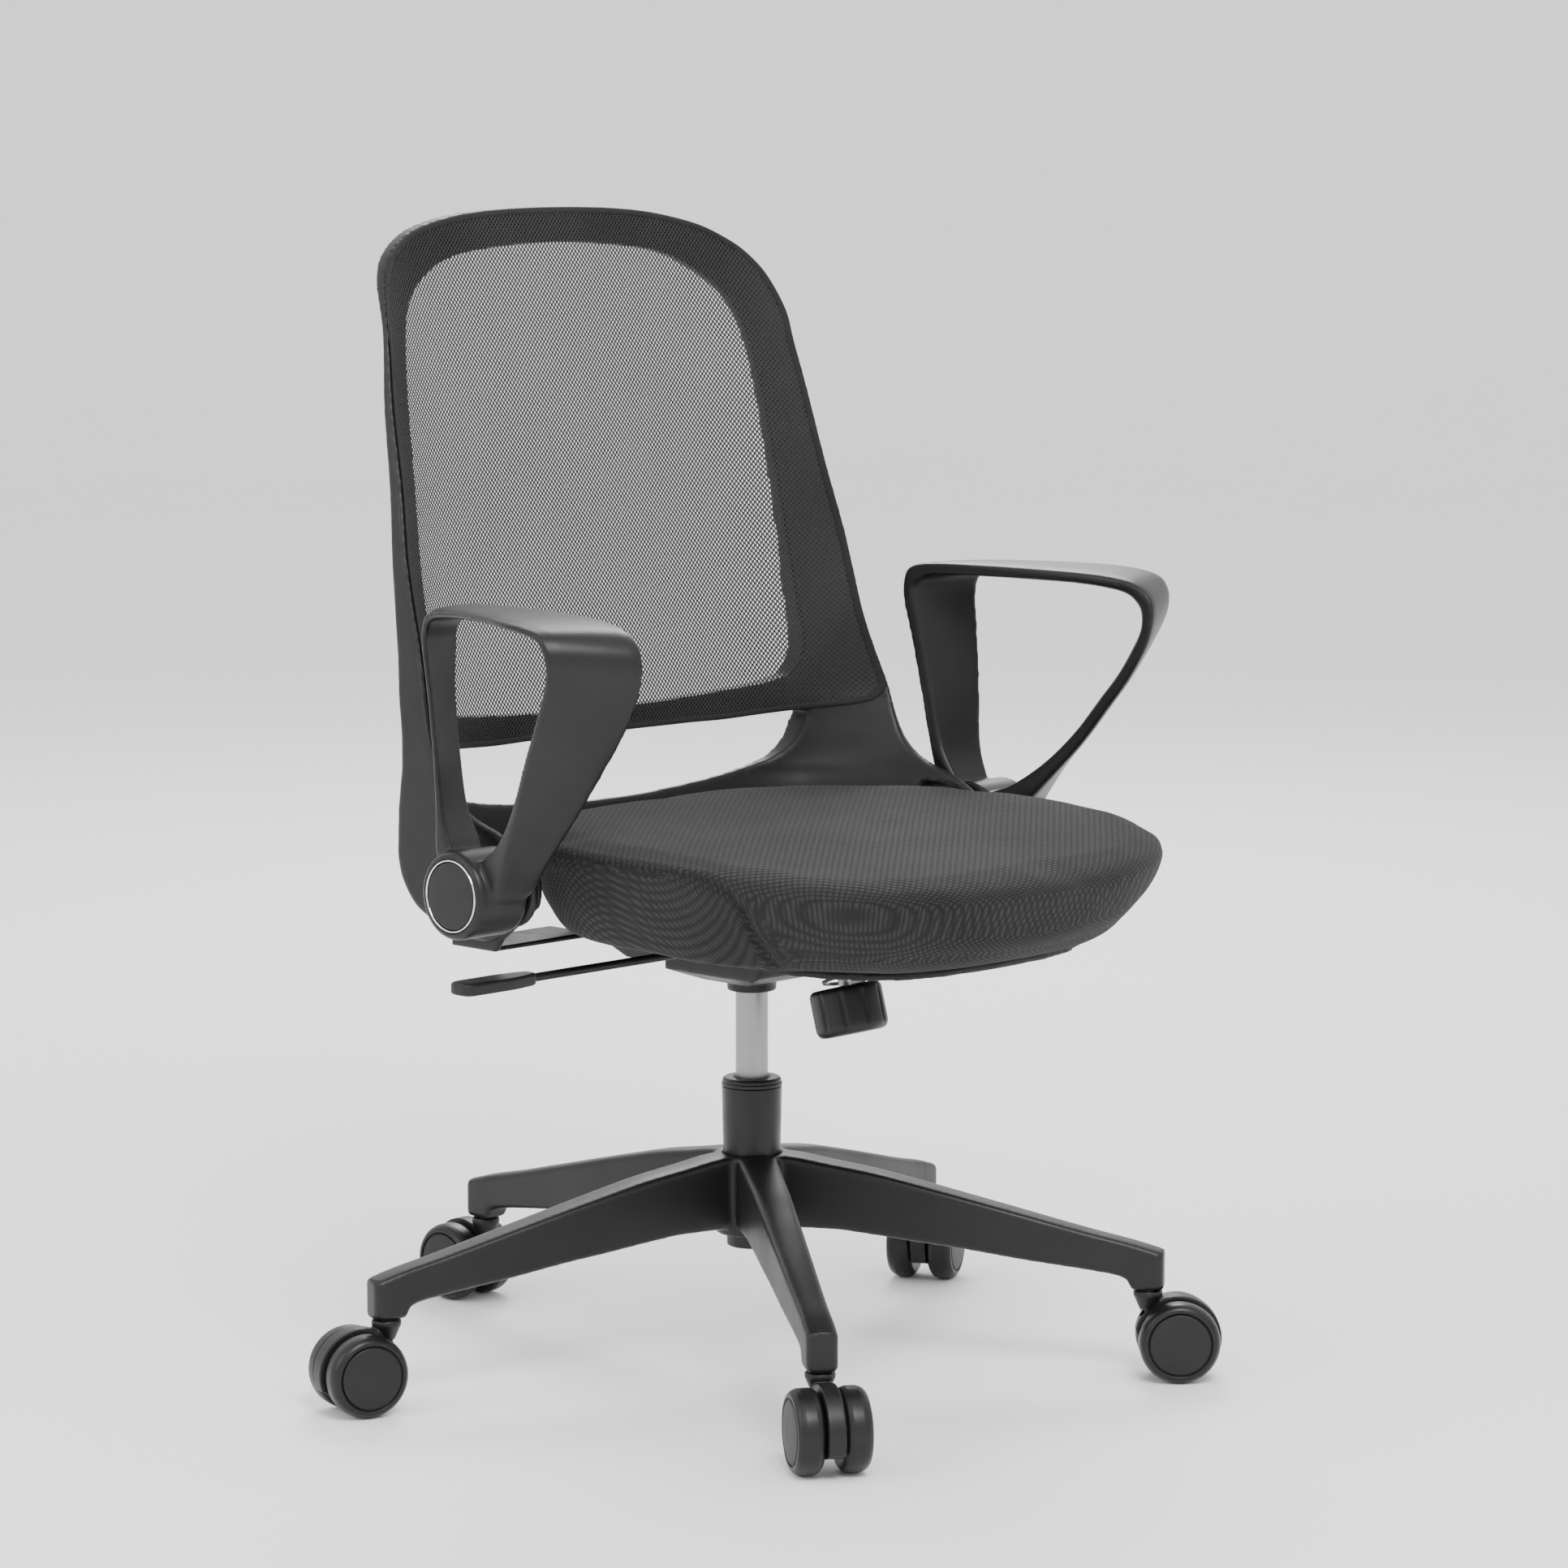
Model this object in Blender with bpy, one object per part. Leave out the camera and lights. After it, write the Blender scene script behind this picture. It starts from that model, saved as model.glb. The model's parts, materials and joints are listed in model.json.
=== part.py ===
"""Swivel office chair: five-star base on twin-wheel casters, gas-lift column, rocking mechanism,
upholstered seat, concave mesh back and two loop arms. Metres, +Z up, origin on the floor under the
middle of the chair; the column stands a little in front of it. The sitter faces -Y, the right hand towards -X.
"""
import math

import bmesh
import bpy
import numpy as np
from mathutils import Matrix, Vector

# ---------------------------------------------------------------- driving sizes
# Heights are measured from a datum FLOOR below the floor; main() lowers everything so the floor is z = 0.
FLOOR = 0.0042
MIDDLE_Y = 0.0255           # middle of the whole chair's depth behind the column axis
STEM_CIRCLE_R = 0.305        # column axis to caster stem axis
WHEEL_R = 0.031
WHEEL_WIDTH = 0.0205
WHEEL_OFFSET = 0.0172        # wheel middle to caster middle
CASTER_TRAIL = 0.023
COLUMN_TOP = 0.2288          # top of the outer column tube's cap
SEAT_HALF_WIDTH = 0.2375
SEAT_FRONT = 0.3104
SEAT_REAR = 0.1300
SEAT_MID_Z = 0.4242          # height of the cushion's widest line
SEAT_CROWN = 0.0121          # top of the cushion above that line
BACK_HALF_WIDTH = 0.2475     # widest part of the back, at its lower corners
BACK_TOP = 0.8884
HUB_Y = 0.0080               # arm pivot axis
HUB_Z = 0.3995
HUB_R = 0.0325
ARM_TOP = 0.6070
LEVER_LENGTH = 0.255

# ---------------------------------------------------------------- clearances
FIT = 0.0003                 # between pieces that touch
RUN = 0.00008                # round a shaft that turns or slides

# leg directions, degrees from straight ahead towards the sitter's left, with the caster's trail heading
LEGS = (
    ("front_right", -36.0, 237.5),
    ("front_left", 36.0, 315.0),
    ("side_left", 108.0, 29.0),
    ("rear", 180.0, 91.0),
    ("side_right", -108.0, 162.0),
)

COLOURS = {
    "nylon_black": ((0.022, 0.022, 0.023), 0.0, 0.42),
    "shell_black": ((0.026, 0.026, 0.027), 0.0, 0.45),
    "wheel_black": ((0.020, 0.020, 0.021), 0.0, 0.38),
    "tube_black": ((0.020, 0.020, 0.021), 0.2, 0.35),
    "steel_black": ((0.018, 0.018, 0.019), 0.5, 0.45),
    "steel_satin": ((0.55, 0.55, 0.56), 1.0, 0.30),
    "chrome": ((0.80, 0.80, 0.81), 1.0, 0.10),
    "seat_fabric": ((0.040, 0.040, 0.042), 0.0, 0.95),
    "mesh_fabric": ((0.030, 0.030, 0.031), 0.0, 0.90),
    "pan_board": ((0.25, 0.19, 0.12), 0.0, 0.70),
    "bush_plastic": ((0.030, 0.030, 0.031), 0.0, 0.50),
}


# ---------------------------------------------------------------- helpers
def clear_scene():
    for ob in list(bpy.data.objects):
        bpy.data.objects.remove(ob, do_unlink=True)


def material(slot):
    mat = bpy.data.materials.get(slot)
    if mat is None:
        mat = bpy.data.materials.new(slot)
        mat.use_nodes = True
        colour, metallic, rough = COLOURS[slot]
        bsdf = mat.node_tree.nodes["Principled BSDF"]
        bsdf.inputs["Base Color"].default_value = (*colour, 1.0)
        bsdf.inputs["Metallic"].default_value = metallic
        bsdf.inputs["Roughness"].default_value = rough
    return mat


def add_object(name, verts, faces, slot, origin=(0.0, 0.0, 0.0)):
    """A closed mesh object whose own origin sits at `origin`."""
    mesh = bpy.data.meshes.new(name)
    base = Vector(origin)
    mesh.from_pydata([tuple(Vector(v) - base) for v in verts], [], faces)
    bm = bmesh.new()
    bm.from_mesh(mesh)
    bmesh.ops.remove_doubles(bm, verts=bm.verts, dist=1e-7)
    bmesh.ops.recalc_face_normals(bm, faces=bm.faces)
    if bm.calc_volume(signed=True) < 0:
        bmesh.ops.reverse_faces(bm, faces=bm.faces)
    bm.to_mesh(mesh)
    bm.free()
    mesh.materials.append(material(slot))
    ob = bpy.data.objects.new(name, mesh)
    ob.location = origin
    bpy.context.scene.collection.objects.link(ob)
    return ob


def smooth(ob, angle=35.0):
    for poly in ob.data.polygons:
        poly.use_smooth = True
    ob.data.set_sharp_from_angle(angle=math.radians(angle))


def loft(rings, closed=False):
    """Vertices and faces of a solid through equal-length rings, capped unless the path is closed."""
    n = len(rings[0])
    verts = [tuple(p) for ring in rings for p in ring]
    faces = []
    count = len(rings)
    for i in range(count if closed else count - 1):
        a = i * n
        b = ((i + 1) % count) * n
        for j in range(n):
            k = (j + 1) % n
            faces.append((a + j, a + k, b + k, b + j))
    if not closed:
        faces.append(tuple(range(n))[::-1])
        faces.append(tuple(range((count - 1) * n, count * n)))
    return verts, faces


def frame_on(point, axis, start=(0.0, 0.0, 1.0)):
    """Matrix that takes local +Z onto `axis` at `point`."""
    z = Vector(axis).normalized()
    ref = Vector(start)
    if abs(z.dot(ref)) > 0.95:
        ref = Vector((1.0, 0.0, 0.0))
    x = ref.cross(z).normalized()
    y = z.cross(x)
    m = Matrix((x, y, z)).transposed().to_4x4()
    m.translation = Vector(point)
    return m


def revolve(profile, segments, point=(0, 0, 0), axis=(0, 0, 1), turn=0.0):
    """Turn a closed (radius, height) outline about an axis; points at radius 0 lie on the axis.
    `turn` shifts the facets by that part of one segment."""
    m = frame_on(point, axis)
    verts = []
    index = []
    for r, h in profile:
        if r < 1e-9:
            index.append([len(verts)] * segments)
            verts.append(tuple(m @ Vector((0, 0, h))))
            continue
        index.append(list(range(len(verts), len(verts) + segments)))
        for k in range(segments):
            a = 2 * math.pi * (k + turn) / segments
            verts.append(tuple(m @ Vector((r * math.cos(a), r * math.sin(a), h))))
    faces = []
    count = len(profile)
    for i in range(count):
        a = index[i]
        b = index[(i + 1) % count]
        for k in range(segments):
            j = (k + 1) % segments
            face = []
            for v in (a[k], a[j], b[j], b[k]):
                if v not in face:
                    face.append(v)
            if len(face) > 2:
                faces.append(tuple(face))
    return verts, faces


def prism(outline, axis, low, high):
    """Extrude a 2-D outline along x, y or z."""
    def place(p, h):
        if axis == "x":
            return (h, p[0], p[1])
        if axis == "y":
            return (p[0], h, p[1])
        return (p[0], p[1], h)
    rings = [[place(p, low) for p in outline], [place(p, high) for p in outline]]
    return loft(rings)


def box(x0, x1, y0, y1, z0, z1):
    return prism([(x0, y0), (x1, y0), (x1, y1), (x0, y1)], "z", z0, z1)


def combine(target, shape, operation):
    """Boolean `shape` (vertices, faces) into the target and keep the result as plain mesh."""
    cutter = add_object("cutter", *shape, target.data.materials[0].name)
    mod = target.modifiers.new("bool", "BOOLEAN")
    mod.operation = operation
    mod.solver = "EXACT"
    mod.object = cutter
    bpy.context.view_layer.update()
    graph = bpy.context.evaluated_depsgraph_get()
    mesh = bpy.data.meshes.new_from_object(target.evaluated_get(graph), depsgraph=graph)
    target.modifiers.clear()
    old = target.data
    name = old.name
    target.data = mesh
    bpy.data.meshes.remove(old)
    mesh.name = name
    bpy.data.objects.remove(cutter, do_unlink=True)
    bm = bmesh.new()
    bm.from_mesh(mesh)
    bmesh.ops.remove_doubles(bm, verts=bm.verts, dist=2e-6)
    bmesh.ops.dissolve_degenerate(bm, edges=bm.edges, dist=2e-6)
    bmesh.ops.recalc_face_normals(bm, faces=bm.faces)
    bm.to_mesh(mesh)
    bm.free()
    return target


def arc(cx, cy, r, a0, a1, n):
    out = []
    for k in range(n + 1):
        a = math.radians(a0 + (a1 - a0) * k / n)
        out.append((cx + r * math.cos(a), cy + r * math.sin(a)))
    return out


def rounded(points, radius, n=3):
    """Round every corner of a 2-D outline."""
    out = []
    count = len(points)
    for i in range(count):
        p = Vector(points[i])
        a = (Vector(points[i - 1]) - p)
        b = (Vector(points[(i + 1) % count]) - p)
        r = min(radius, a.length * 0.45, b.length * 0.45)
        p0 = p + a.normalized() * r
        p1 = p + b.normalized() * r
        for k in range(n + 1):
            t = k / n
            q = p0 * (1 - t) ** 2 + p * 2 * t * (1 - t) + p1 * t ** 2
            out.append((q.x, q.y))
    return out


def curve(table, x):
    """Smooth monotone look-up through (x, value) pairs."""
    xs = np.array([row[0] for row in table], float)
    ys = np.array([row[1] for row in table], float)
    d = np.diff(ys) / np.diff(xs)
    m = np.empty(len(xs))
    m[0] = d[0]
    m[-1] = d[-1]
    for i in range(1, len(xs) - 1):
        m[i] = 0.0 if d[i - 1] * d[i] <= 0 else 2 * d[i - 1] * d[i] / (d[i - 1] + d[i])
    x = min(max(x, xs[0]), xs[-1])
    i = min(max(int(np.searchsorted(xs, x)) - 1, 0), len(xs) - 2)
    h = xs[i + 1] - xs[i]
    t = (x - xs[i]) / h
    a = (1 + 2 * t) * (1 - t) ** 2
    b = t * (1 - t) ** 2
    c = t * t * (3 - 2 * t)
    e = t * t * (t - 1)
    return float(a * ys[i] + b * h * m[i] + c * ys[i + 1] + e * h * m[i + 1])


def heading(degrees):
    """Leg direction on the floor."""
    a = math.radians(degrees)
    return Vector((math.sin(a), -math.cos(a), 0.0))


# ---------------------------------------------------------------- five-star base
SOCKET_Z = 0.0732            # bottom of the caster sockets
HUB_TOP_Z = 0.1700
HUB_LOW_Z = 0.1076
STEM_R = 0.0055
STEM_TOP = 0.0985
TUBE_R_LOW = 0.0205          # column tube where it enters the hub from below
TUBE_R_HUB = 0.0221          # and at the hub's top
LEG_TOP = ((0.0, 0.1715), (0.03, 0.1698), (0.06, 0.1646), (0.094, 0.1585), (0.128, 0.1505),
           (0.195, 0.1337), (0.2615, 0.1168), (0.295, 0.1090), (0.3150, 0.1032))
LEG_LOW = ((0.0, 0.1140), (0.03, 0.1140), (0.06, 0.1138), (0.094, 0.1103), (0.128, 0.1056),
           (0.162, 0.1014), (0.209, 0.0942), (0.265, 0.0868), (0.283, 0.0838), (0.2895, 0.0810))


def leg_section(distance, half, top, low, direction):
    """Rounded section of a leg across its direction."""
    side = Vector((-direction.y, direction.x, 0.0))
    r = min(0.0032, half * 0.4)
    s = 0.0022
    outline = []
    outline += [(half, low + s), (half, top - r)]
    outline += [(half - 0.3 * r, top - 0.3 * r), (half - r, top)]
    outline += [(-half + r, top), (-half + 0.3 * r, top - 0.3 * r)]
    outline += [(-half, top - r), (-half, low + s), (-half + s, low), (half - s, low)]
    return [direction * distance + side * t + Vector((0, 0, z)) for t, z in outline]


def leg_shape(direction):
    longer = (STEM_CIRCLE_R - 0.305) / (0.305 - 0.060)

    def out(d):
        return d + max(0.0, d - 0.060) * longer if d < 0.29 else d + STEM_CIRCLE_R - 0.305

    rings = []
    for d in (0.010, 0.030, 0.060, 0.094, 0.128, 0.162, 0.200, 0.235, 0.265, 0.283, 0.2895):
        half = 0.0158 - 0.0042 * min(d / 0.27, 1.0)
        rings.append(leg_section(out(d), half, curve(LEG_TOP, d), curve(LEG_LOW, d), direction))
    for d, half, low in ((0.2918, 0.0117, 0.0765), (0.2935, 0.0118, SOCKET_Z), (0.3135, 0.0118, SOCKET_Z),
                         (0.3160, 0.0104, SOCKET_Z), (0.3172, 0.0080, SOCKET_Z + 0.0008)):
        rings.append(leg_section(out(d), half, curve(LEG_TOP, min(d, 0.315)), low, direction))
    return loft(rings)


def build_base():
    hub = [(0.0, HUB_LOW_Z), (0.0265, HUB_LOW_Z), (0.0285, HUB_LOW_Z + 0.002), (0.0300, 0.150),
           (0.0300, HUB_TOP_Z - 0.002), (0.0285, HUB_TOP_Z), (0.0, HUB_TOP_Z)]
    base = add_object("five_star_base", *revolve(hub, 32), "nylon_black")
    for _, angle, _ in LEGS:
        combine(base, leg_shape(heading(angle)), "UNION")
    bore = [(0.0, HUB_LOW_Z - 0.01), (TUBE_R_LOW + FIT, HUB_LOW_Z - 0.01), (TUBE_R_LOW + FIT, HUB_LOW_Z),
            (TUBE_R_HUB + FIT, HUB_TOP_Z), (TUBE_R_HUB + FIT, HUB_TOP_Z + 0.02), (0.0, HUB_TOP_Z + 0.02)]
    combine(base, revolve(bore, 28), "DIFFERENCE")
    for _, angle, _ in LEGS:
        p = heading(angle) * STEM_CIRCLE_R
        hole = [(0.0, 0.06), (STEM_R + RUN, 0.06), (STEM_R + RUN, STEM_TOP + 0.0005), (0.0, STEM_TOP + 0.0005)]
        combine(base, revolve(hole, 20, point=p), "DIFFERENCE")
    smooth(base, 30)


# ---------------------------------------------------------------- column
TUBE_LOW = 0.0975
TUBE_FLOOR = 0.0030
TUBE_BORE_R = 0.0150
CAP_R = 0.0233
CAP_T = 0.0067
PISTON_TUBE_R = 0.0124       # bright upper tube of the gas spring
CYL_LOW = 0.172
CYL_TOP = 0.3205
ROD_R = 0.0050


def build_column():
    top = COLUMN_TOP - CAP_T - FIT
    tube = [(0.0045, TUBE_LOW), (0.0183, TUBE_LOW), (0.01935, TUBE_LOW + 0.001), (0.0196, HUB_LOW_Z - 0.0004),
            (TUBE_R_LOW, HUB_LOW_Z), (TUBE_R_HUB, HUB_TOP_Z), (0.0231, top), (TUBE_BORE_R, top),
            (TUBE_BORE_R, TUBE_LOW + TUBE_FLOOR), (0.0045, TUBE_LOW + TUBE_FLOOR)]
    smooth(add_object("column_tube", *revolve(tube, 28), "tube_black"))
    cap_low = COLUMN_TOP - CAP_T
    bush = [(PISTON_TUBE_R + RUN, 0.150), (TUBE_BORE_R - FIT, 0.150), (TUBE_BORE_R - FIT, cap_low),
            (CAP_R, cap_low), (CAP_R, COLUMN_TOP - 0.0015), (CAP_R - 0.0015, COLUMN_TOP),
            (PISTON_TUBE_R + 0.0022, COLUMN_TOP), (PISTON_TUBE_R + RUN, COLUMN_TOP - 0.0015)]
    smooth(add_object("column_bush", *revolve(bush, 28), "bush_plastic"))
    floor = TUBE_LOW + TUBE_FLOOR
    washer = [(ROD_R + FIT, floor + FIT), (0.0130, floor + FIT), (0.0130, floor + 0.0045),
              (ROD_R + FIT, floor + 0.0045)]
    smooth(add_object("thrust_bearing", *revolve(washer, 20), "steel_satin"))
    shank = 0.0042
    collar = floor + 0.0045 + FIT
    rod = [(0.0, 0.0940), (shank, 0.0940), (shank, floor + FIT), (ROD_R, floor + FIT), (ROD_R, collar),
           (0.0085, collar), (0.0085, collar + 0.0030), (ROD_R, collar + 0.0030), (ROD_R, 0.228),
           (0.0102, 0.228), (0.0102, 0.240), (0.0, 0.240)]
    smooth(add_object("piston_rod", *revolve(rod, 20), "steel_satin"))
    clip = [(shank + FIT, 0.0952), (0.0085, 0.0952), (0.0085, TUBE_LOW - FIT), (shank + FIT, TUBE_LOW - FIT)]
    smooth(add_object("rod_clip", *revolve(clip, 20), "steel_satin"))
    # the inner chamber is cut out after the outside is turned
    body = [(0.0, CYL_LOW), (PISTON_TUBE_R, CYL_LOW), (PISTON_TUBE_R, 0.300), (0.0119, CYL_TOP),
            (0.0040 + RUN, CYL_TOP), (0.0040 + RUN, 0.3075), (0.0, 0.3075)]
    ob = add_object("gas_cylinder", *revolve(body, 28), "steel_satin")
    neck = CYL_LOW + 0.008
    chamber = [(0.0, CYL_LOW - 0.01), (ROD_R + RUN, CYL_LOW - 0.01), (ROD_R + RUN, neck), (0.0103, neck),
               (0.0103, 0.3000), (0.0, 0.3000)]
    combine(ob, revolve(chamber, 20), "DIFFERENCE")
    smooth(ob)
    top = LEVER_Z - LEVER_R - 0.0006 - TONGUE_T - 0.0006
    pin = [(0.0, 0.3125), (0.0040, 0.3125), (0.0040, top - 0.001), (0.0030, top), (0.0, top)]
    smooth(add_object("valve_button", *revolve(pin, 16), "steel_satin", origin=(0, 0, 0.3125)))


# ---------------------------------------------------------------- mechanism
LEVER_Z = 0.3325
LEVER_R = 0.0032
TONGUE_T = 0.0028
DRUM_X = -0.0360
TILT_Y = 0.028               # rocking axis
TILT_Z = 0.334
SHAFT_R = 0.0040
MECH_HALF = 0.047
MECH_TOP = 0.3440
MECH_LOW = 0.3040
PLATE_LOW = 0.3470
PLATE_T = 0.0062
TONGUE_LOW = 0.3400          # underside of the housing's front tongue
TONGUE_END = -0.1120         # kept short so the rising knob passes in front of it
BOLT_R = 0.0040
KNOB_R = 0.0275
KNOB_LEAN = math.radians(16.0)
KNOB_FOOT = Vector((0.0, -0.1080, 0.2755))
KNOB_UP = Vector((0.0, math.sin(KNOB_LEAN), math.cos(KNOB_LEAN)))
KNOB_LENGTH = 0.0360


def along_knob(z):
    """Point on the knob's axis at height z."""
    return KNOB_FOOT + KNOB_UP * ((z - KNOB_FOOT.z) / KNOB_UP.z)


def build_housing():
    side = [(TONGUE_END, MECH_TOP), (TONGUE_END, TONGUE_LOW), (-0.062, TONGUE_LOW), (-0.052, 0.3150),
            (-0.038, 0.3085), (-0.022, MECH_LOW), (0.024, MECH_LOW), (0.040, 0.3085), (0.0475, 0.3120),
            (0.0475, 0.3400), (0.034, MECH_TOP)]
    ob = add_object("mechanism_housing", *prism(side, "x", -MECH_HALF, MECH_HALF), "steel_black")
    for sx in (-1, 1):
        taper = [(sx * 0.028, -0.15), (sx * 0.06, -0.15), (sx * 0.06, -0.040)]
        combine(ob, prism(taper, "z", 0.29, 0.36), "DIFFERENCE")
        chamfer = [(sx * 0.022, 0.3020), (sx * 0.060, 0.3020), (sx * 0.060, 0.3180)]
        combine(ob, prism(chamfer, "y", -0.15, 0.06), "DIFFERENCE")
    collar = [(0.0, 0.2960), (0.0180, 0.2960), (0.0190, 0.2970), (0.0190, 0.3060), (0.0, 0.3060)]
    combine(ob, revolve(collar, 28), "UNION")
    bore = [(0.0, 0.28), (PISTON_TUBE_R + FIT, 0.28), (PISTON_TUBE_R + FIT, 0.3000), (0.0119 + FIT, CYL_TOP),
            (0.0119 + FIT, CYL_TOP + 0.004), (0.0, CYL_TOP + 0.004)]
    combine(ob, revolve(bore, 28), "DIFFERENCE")
    combine(ob, box(-0.0437, 0.030, -0.019, 0.019, 0.3180, 0.36), "DIFFERENCE")
    hole = [(0.0, -0.02), (0.0055, -0.02), (0.0055, 0.008), (0.0, 0.008)]
    combine(ob, revolve(hole, 20, point=(-MECH_HALF, 0, LEVER_Z), axis=(1, 0, 0)), "DIFFERENCE")
    shaft = [(0.0, -0.08), (SHAFT_R + RUN, -0.08), (SHAFT_R + RUN, 0.08), (0.0, 0.08)]
    combine(ob, revolve(shaft, 20, point=(0, TILT_Y, TILT_Z), axis=(1, 0, 0)), "DIFFERENCE")
    mouth = [(0.0, -0.02), (0.0130, -0.02), (0.0130, 0.02), (0.0, 0.02)]
    combine(ob, revolve(mouth, 24, point=along_knob(0.3405), axis=KNOB_UP), "DIFFERENCE")
    smooth(ob)


def build_lever():
    low = LEVER_Z - LEVER_R - 0.0006 - TONGUE_T
    origin = (DRUM_X, 0, LEVER_Z)
    drum = add_object("lever_pivot", *box(-0.0425, -0.0295, -0.0120, 0.0120, low, LEVER_Z + 0.0065), "steel_satin",
                      origin=origin)
    combine(drum, box(-0.0300, 0.0050, -0.0050, 0.0050, low, low + TONGUE_T), "UNION")
    bore = [(0.0, -0.03), (LEVER_R + RUN, -0.03), (LEVER_R + RUN, 0.03), (0.0, 0.03)]
    combine(drum, revolve(bore, 16, point=(-0.036, 0, LEVER_Z), axis=(1, 0, 0)), "DIFFERENCE")
    smooth(drum)
    outer = -(0.046 + LEVER_LENGTH)
    rod_end = outer + 0.045
    rod = [(0.0, rod_end), (LEVER_R * 0.8, rod_end), (LEVER_R, rod_end + 0.0006), (LEVER_R, -0.0160),
           (LEVER_R - 0.0006, -0.0154), (0.0, -0.0154)]
    smooth(add_object("lever_rod", *revolve(rod, 16, point=(0, 0, LEVER_Z), axis=(1, 0, 0)), "steel_black",
                      origin=origin))
    plan = rounded([(outer, -0.0115), (outer + 0.050, -0.0115), (outer + 0.074, -0.0065), (outer + 0.074, 0.0065),
                    (outer + 0.050, 0.0115), (outer, 0.0115)], 0.008)
    rings = []
    for inset, z in ((0.0018, -0.0048), (0.0, -0.0036), (0.0, 0.0036), (0.0018, 0.0048)):
        rings.append([(x + (inset if x < outer + 0.037 else -inset), y * (1 - inset / 0.012), LEVER_Z + z)
                      for x, y in plan])
    pad = add_object("lever_paddle", *loft(rings), "nylon_black", origin=origin)
    socket = [(0.0, rod_end - FIT), (LEVER_R + FIT, rod_end - FIT), (LEVER_R + FIT, rod_end + 0.05),
              (0.0, rod_end + 0.05)]
    combine(pad, revolve(socket, 16, point=(0, 0, LEVER_Z), axis=(1, 0, 0)), "DIFFERENCE")
    smooth(pad)


def build_tilt_parts():
    shaft = [(0.0, -0.0545), (SHAFT_R - 0.0005, -0.0545), (SHAFT_R, -0.0540), (SHAFT_R, 0.0540),
             (SHAFT_R - 0.0005, 0.0545), (0.0, 0.0545)]
    smooth(add_object("tilt_shaft", *revolve(shaft, 20, point=(0, TILT_Y, TILT_Z), axis=(1, 0, 0)), "steel_satin",
                      origin=(0, TILT_Y, TILT_Z)))
    outline = rounded([(-0.072, -0.1385), (0.072, -0.1385), (0.098, -0.030), (0.104, 0.100), (-0.104, 0.100),
                       (-0.098, -0.030)], 0.016)
    plate = add_object("seat_plate", *prism(outline, "z", PLATE_LOW, PLATE_LOW + PLATE_T), "steel_black",
                       origin=(0, TILT_Y, TILT_Z))
    for sx in (-1, 1):
        ear = [(TILT_Y - 0.022, PLATE_LOW + 0.001), (TILT_Y - 0.009, TILT_Z - 0.005)]
        ear += arc(TILT_Y, TILT_Z, 0.0100, 205, 335, 6)
        ear += [(TILT_Y + 0.009, TILT_Z - 0.005), (TILT_Y + 0.022, PLATE_LOW + 0.001)]
        x0, x1 = sorted((sx * (MECH_HALF + FIT), sx * (MECH_HALF + 0.0045)))
        combine(plate, prism(ear, "x", x0, x1), "UNION")
        flange = [(sx * 0.0960, 0.3280), (sx * 0.0985, 0.3280), (sx * 0.1015, PLATE_LOW + 0.001),
                  (sx * 0.0975, PLATE_LOW + 0.001)]
        combine(plate, prism(flange, "y", 0.004, 0.078), "UNION")
        wedge = [(0.030, 0.320), (0.036, 0.3285), (0.0790, 0.3475), (0.09, 0.3475), (0.09, 0.320)]
        x0, x1 = sorted((sx * 0.090, sx * 0.110))
        combine(plate, prism(wedge, "x", x0, x1), "DIFFERENCE")
    combine(plate, box(-0.034, 0.034, -0.1385, -0.1345, 0.3385, PLATE_LOW + 0.001), "UNION")
    bore = [(0.0, -0.08), (SHAFT_R + RUN, -0.08), (SHAFT_R + RUN, 0.08), (0.0, 0.08)]
    combine(plate, revolve(bore, 20, point=(0, TILT_Y, TILT_Z), axis=(1, 0, 0)), "DIFFERENCE")
    hole = [(0.0, -0.02), (BOLT_R + FIT, -0.02), (BOLT_R + FIT, 0.02), (0.0, 0.02)]
    combine(plate, revolve(hole, 20, point=along_knob(0.3485), axis=KNOB_UP), "DIFFERENCE")
    smooth(plate)


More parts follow.
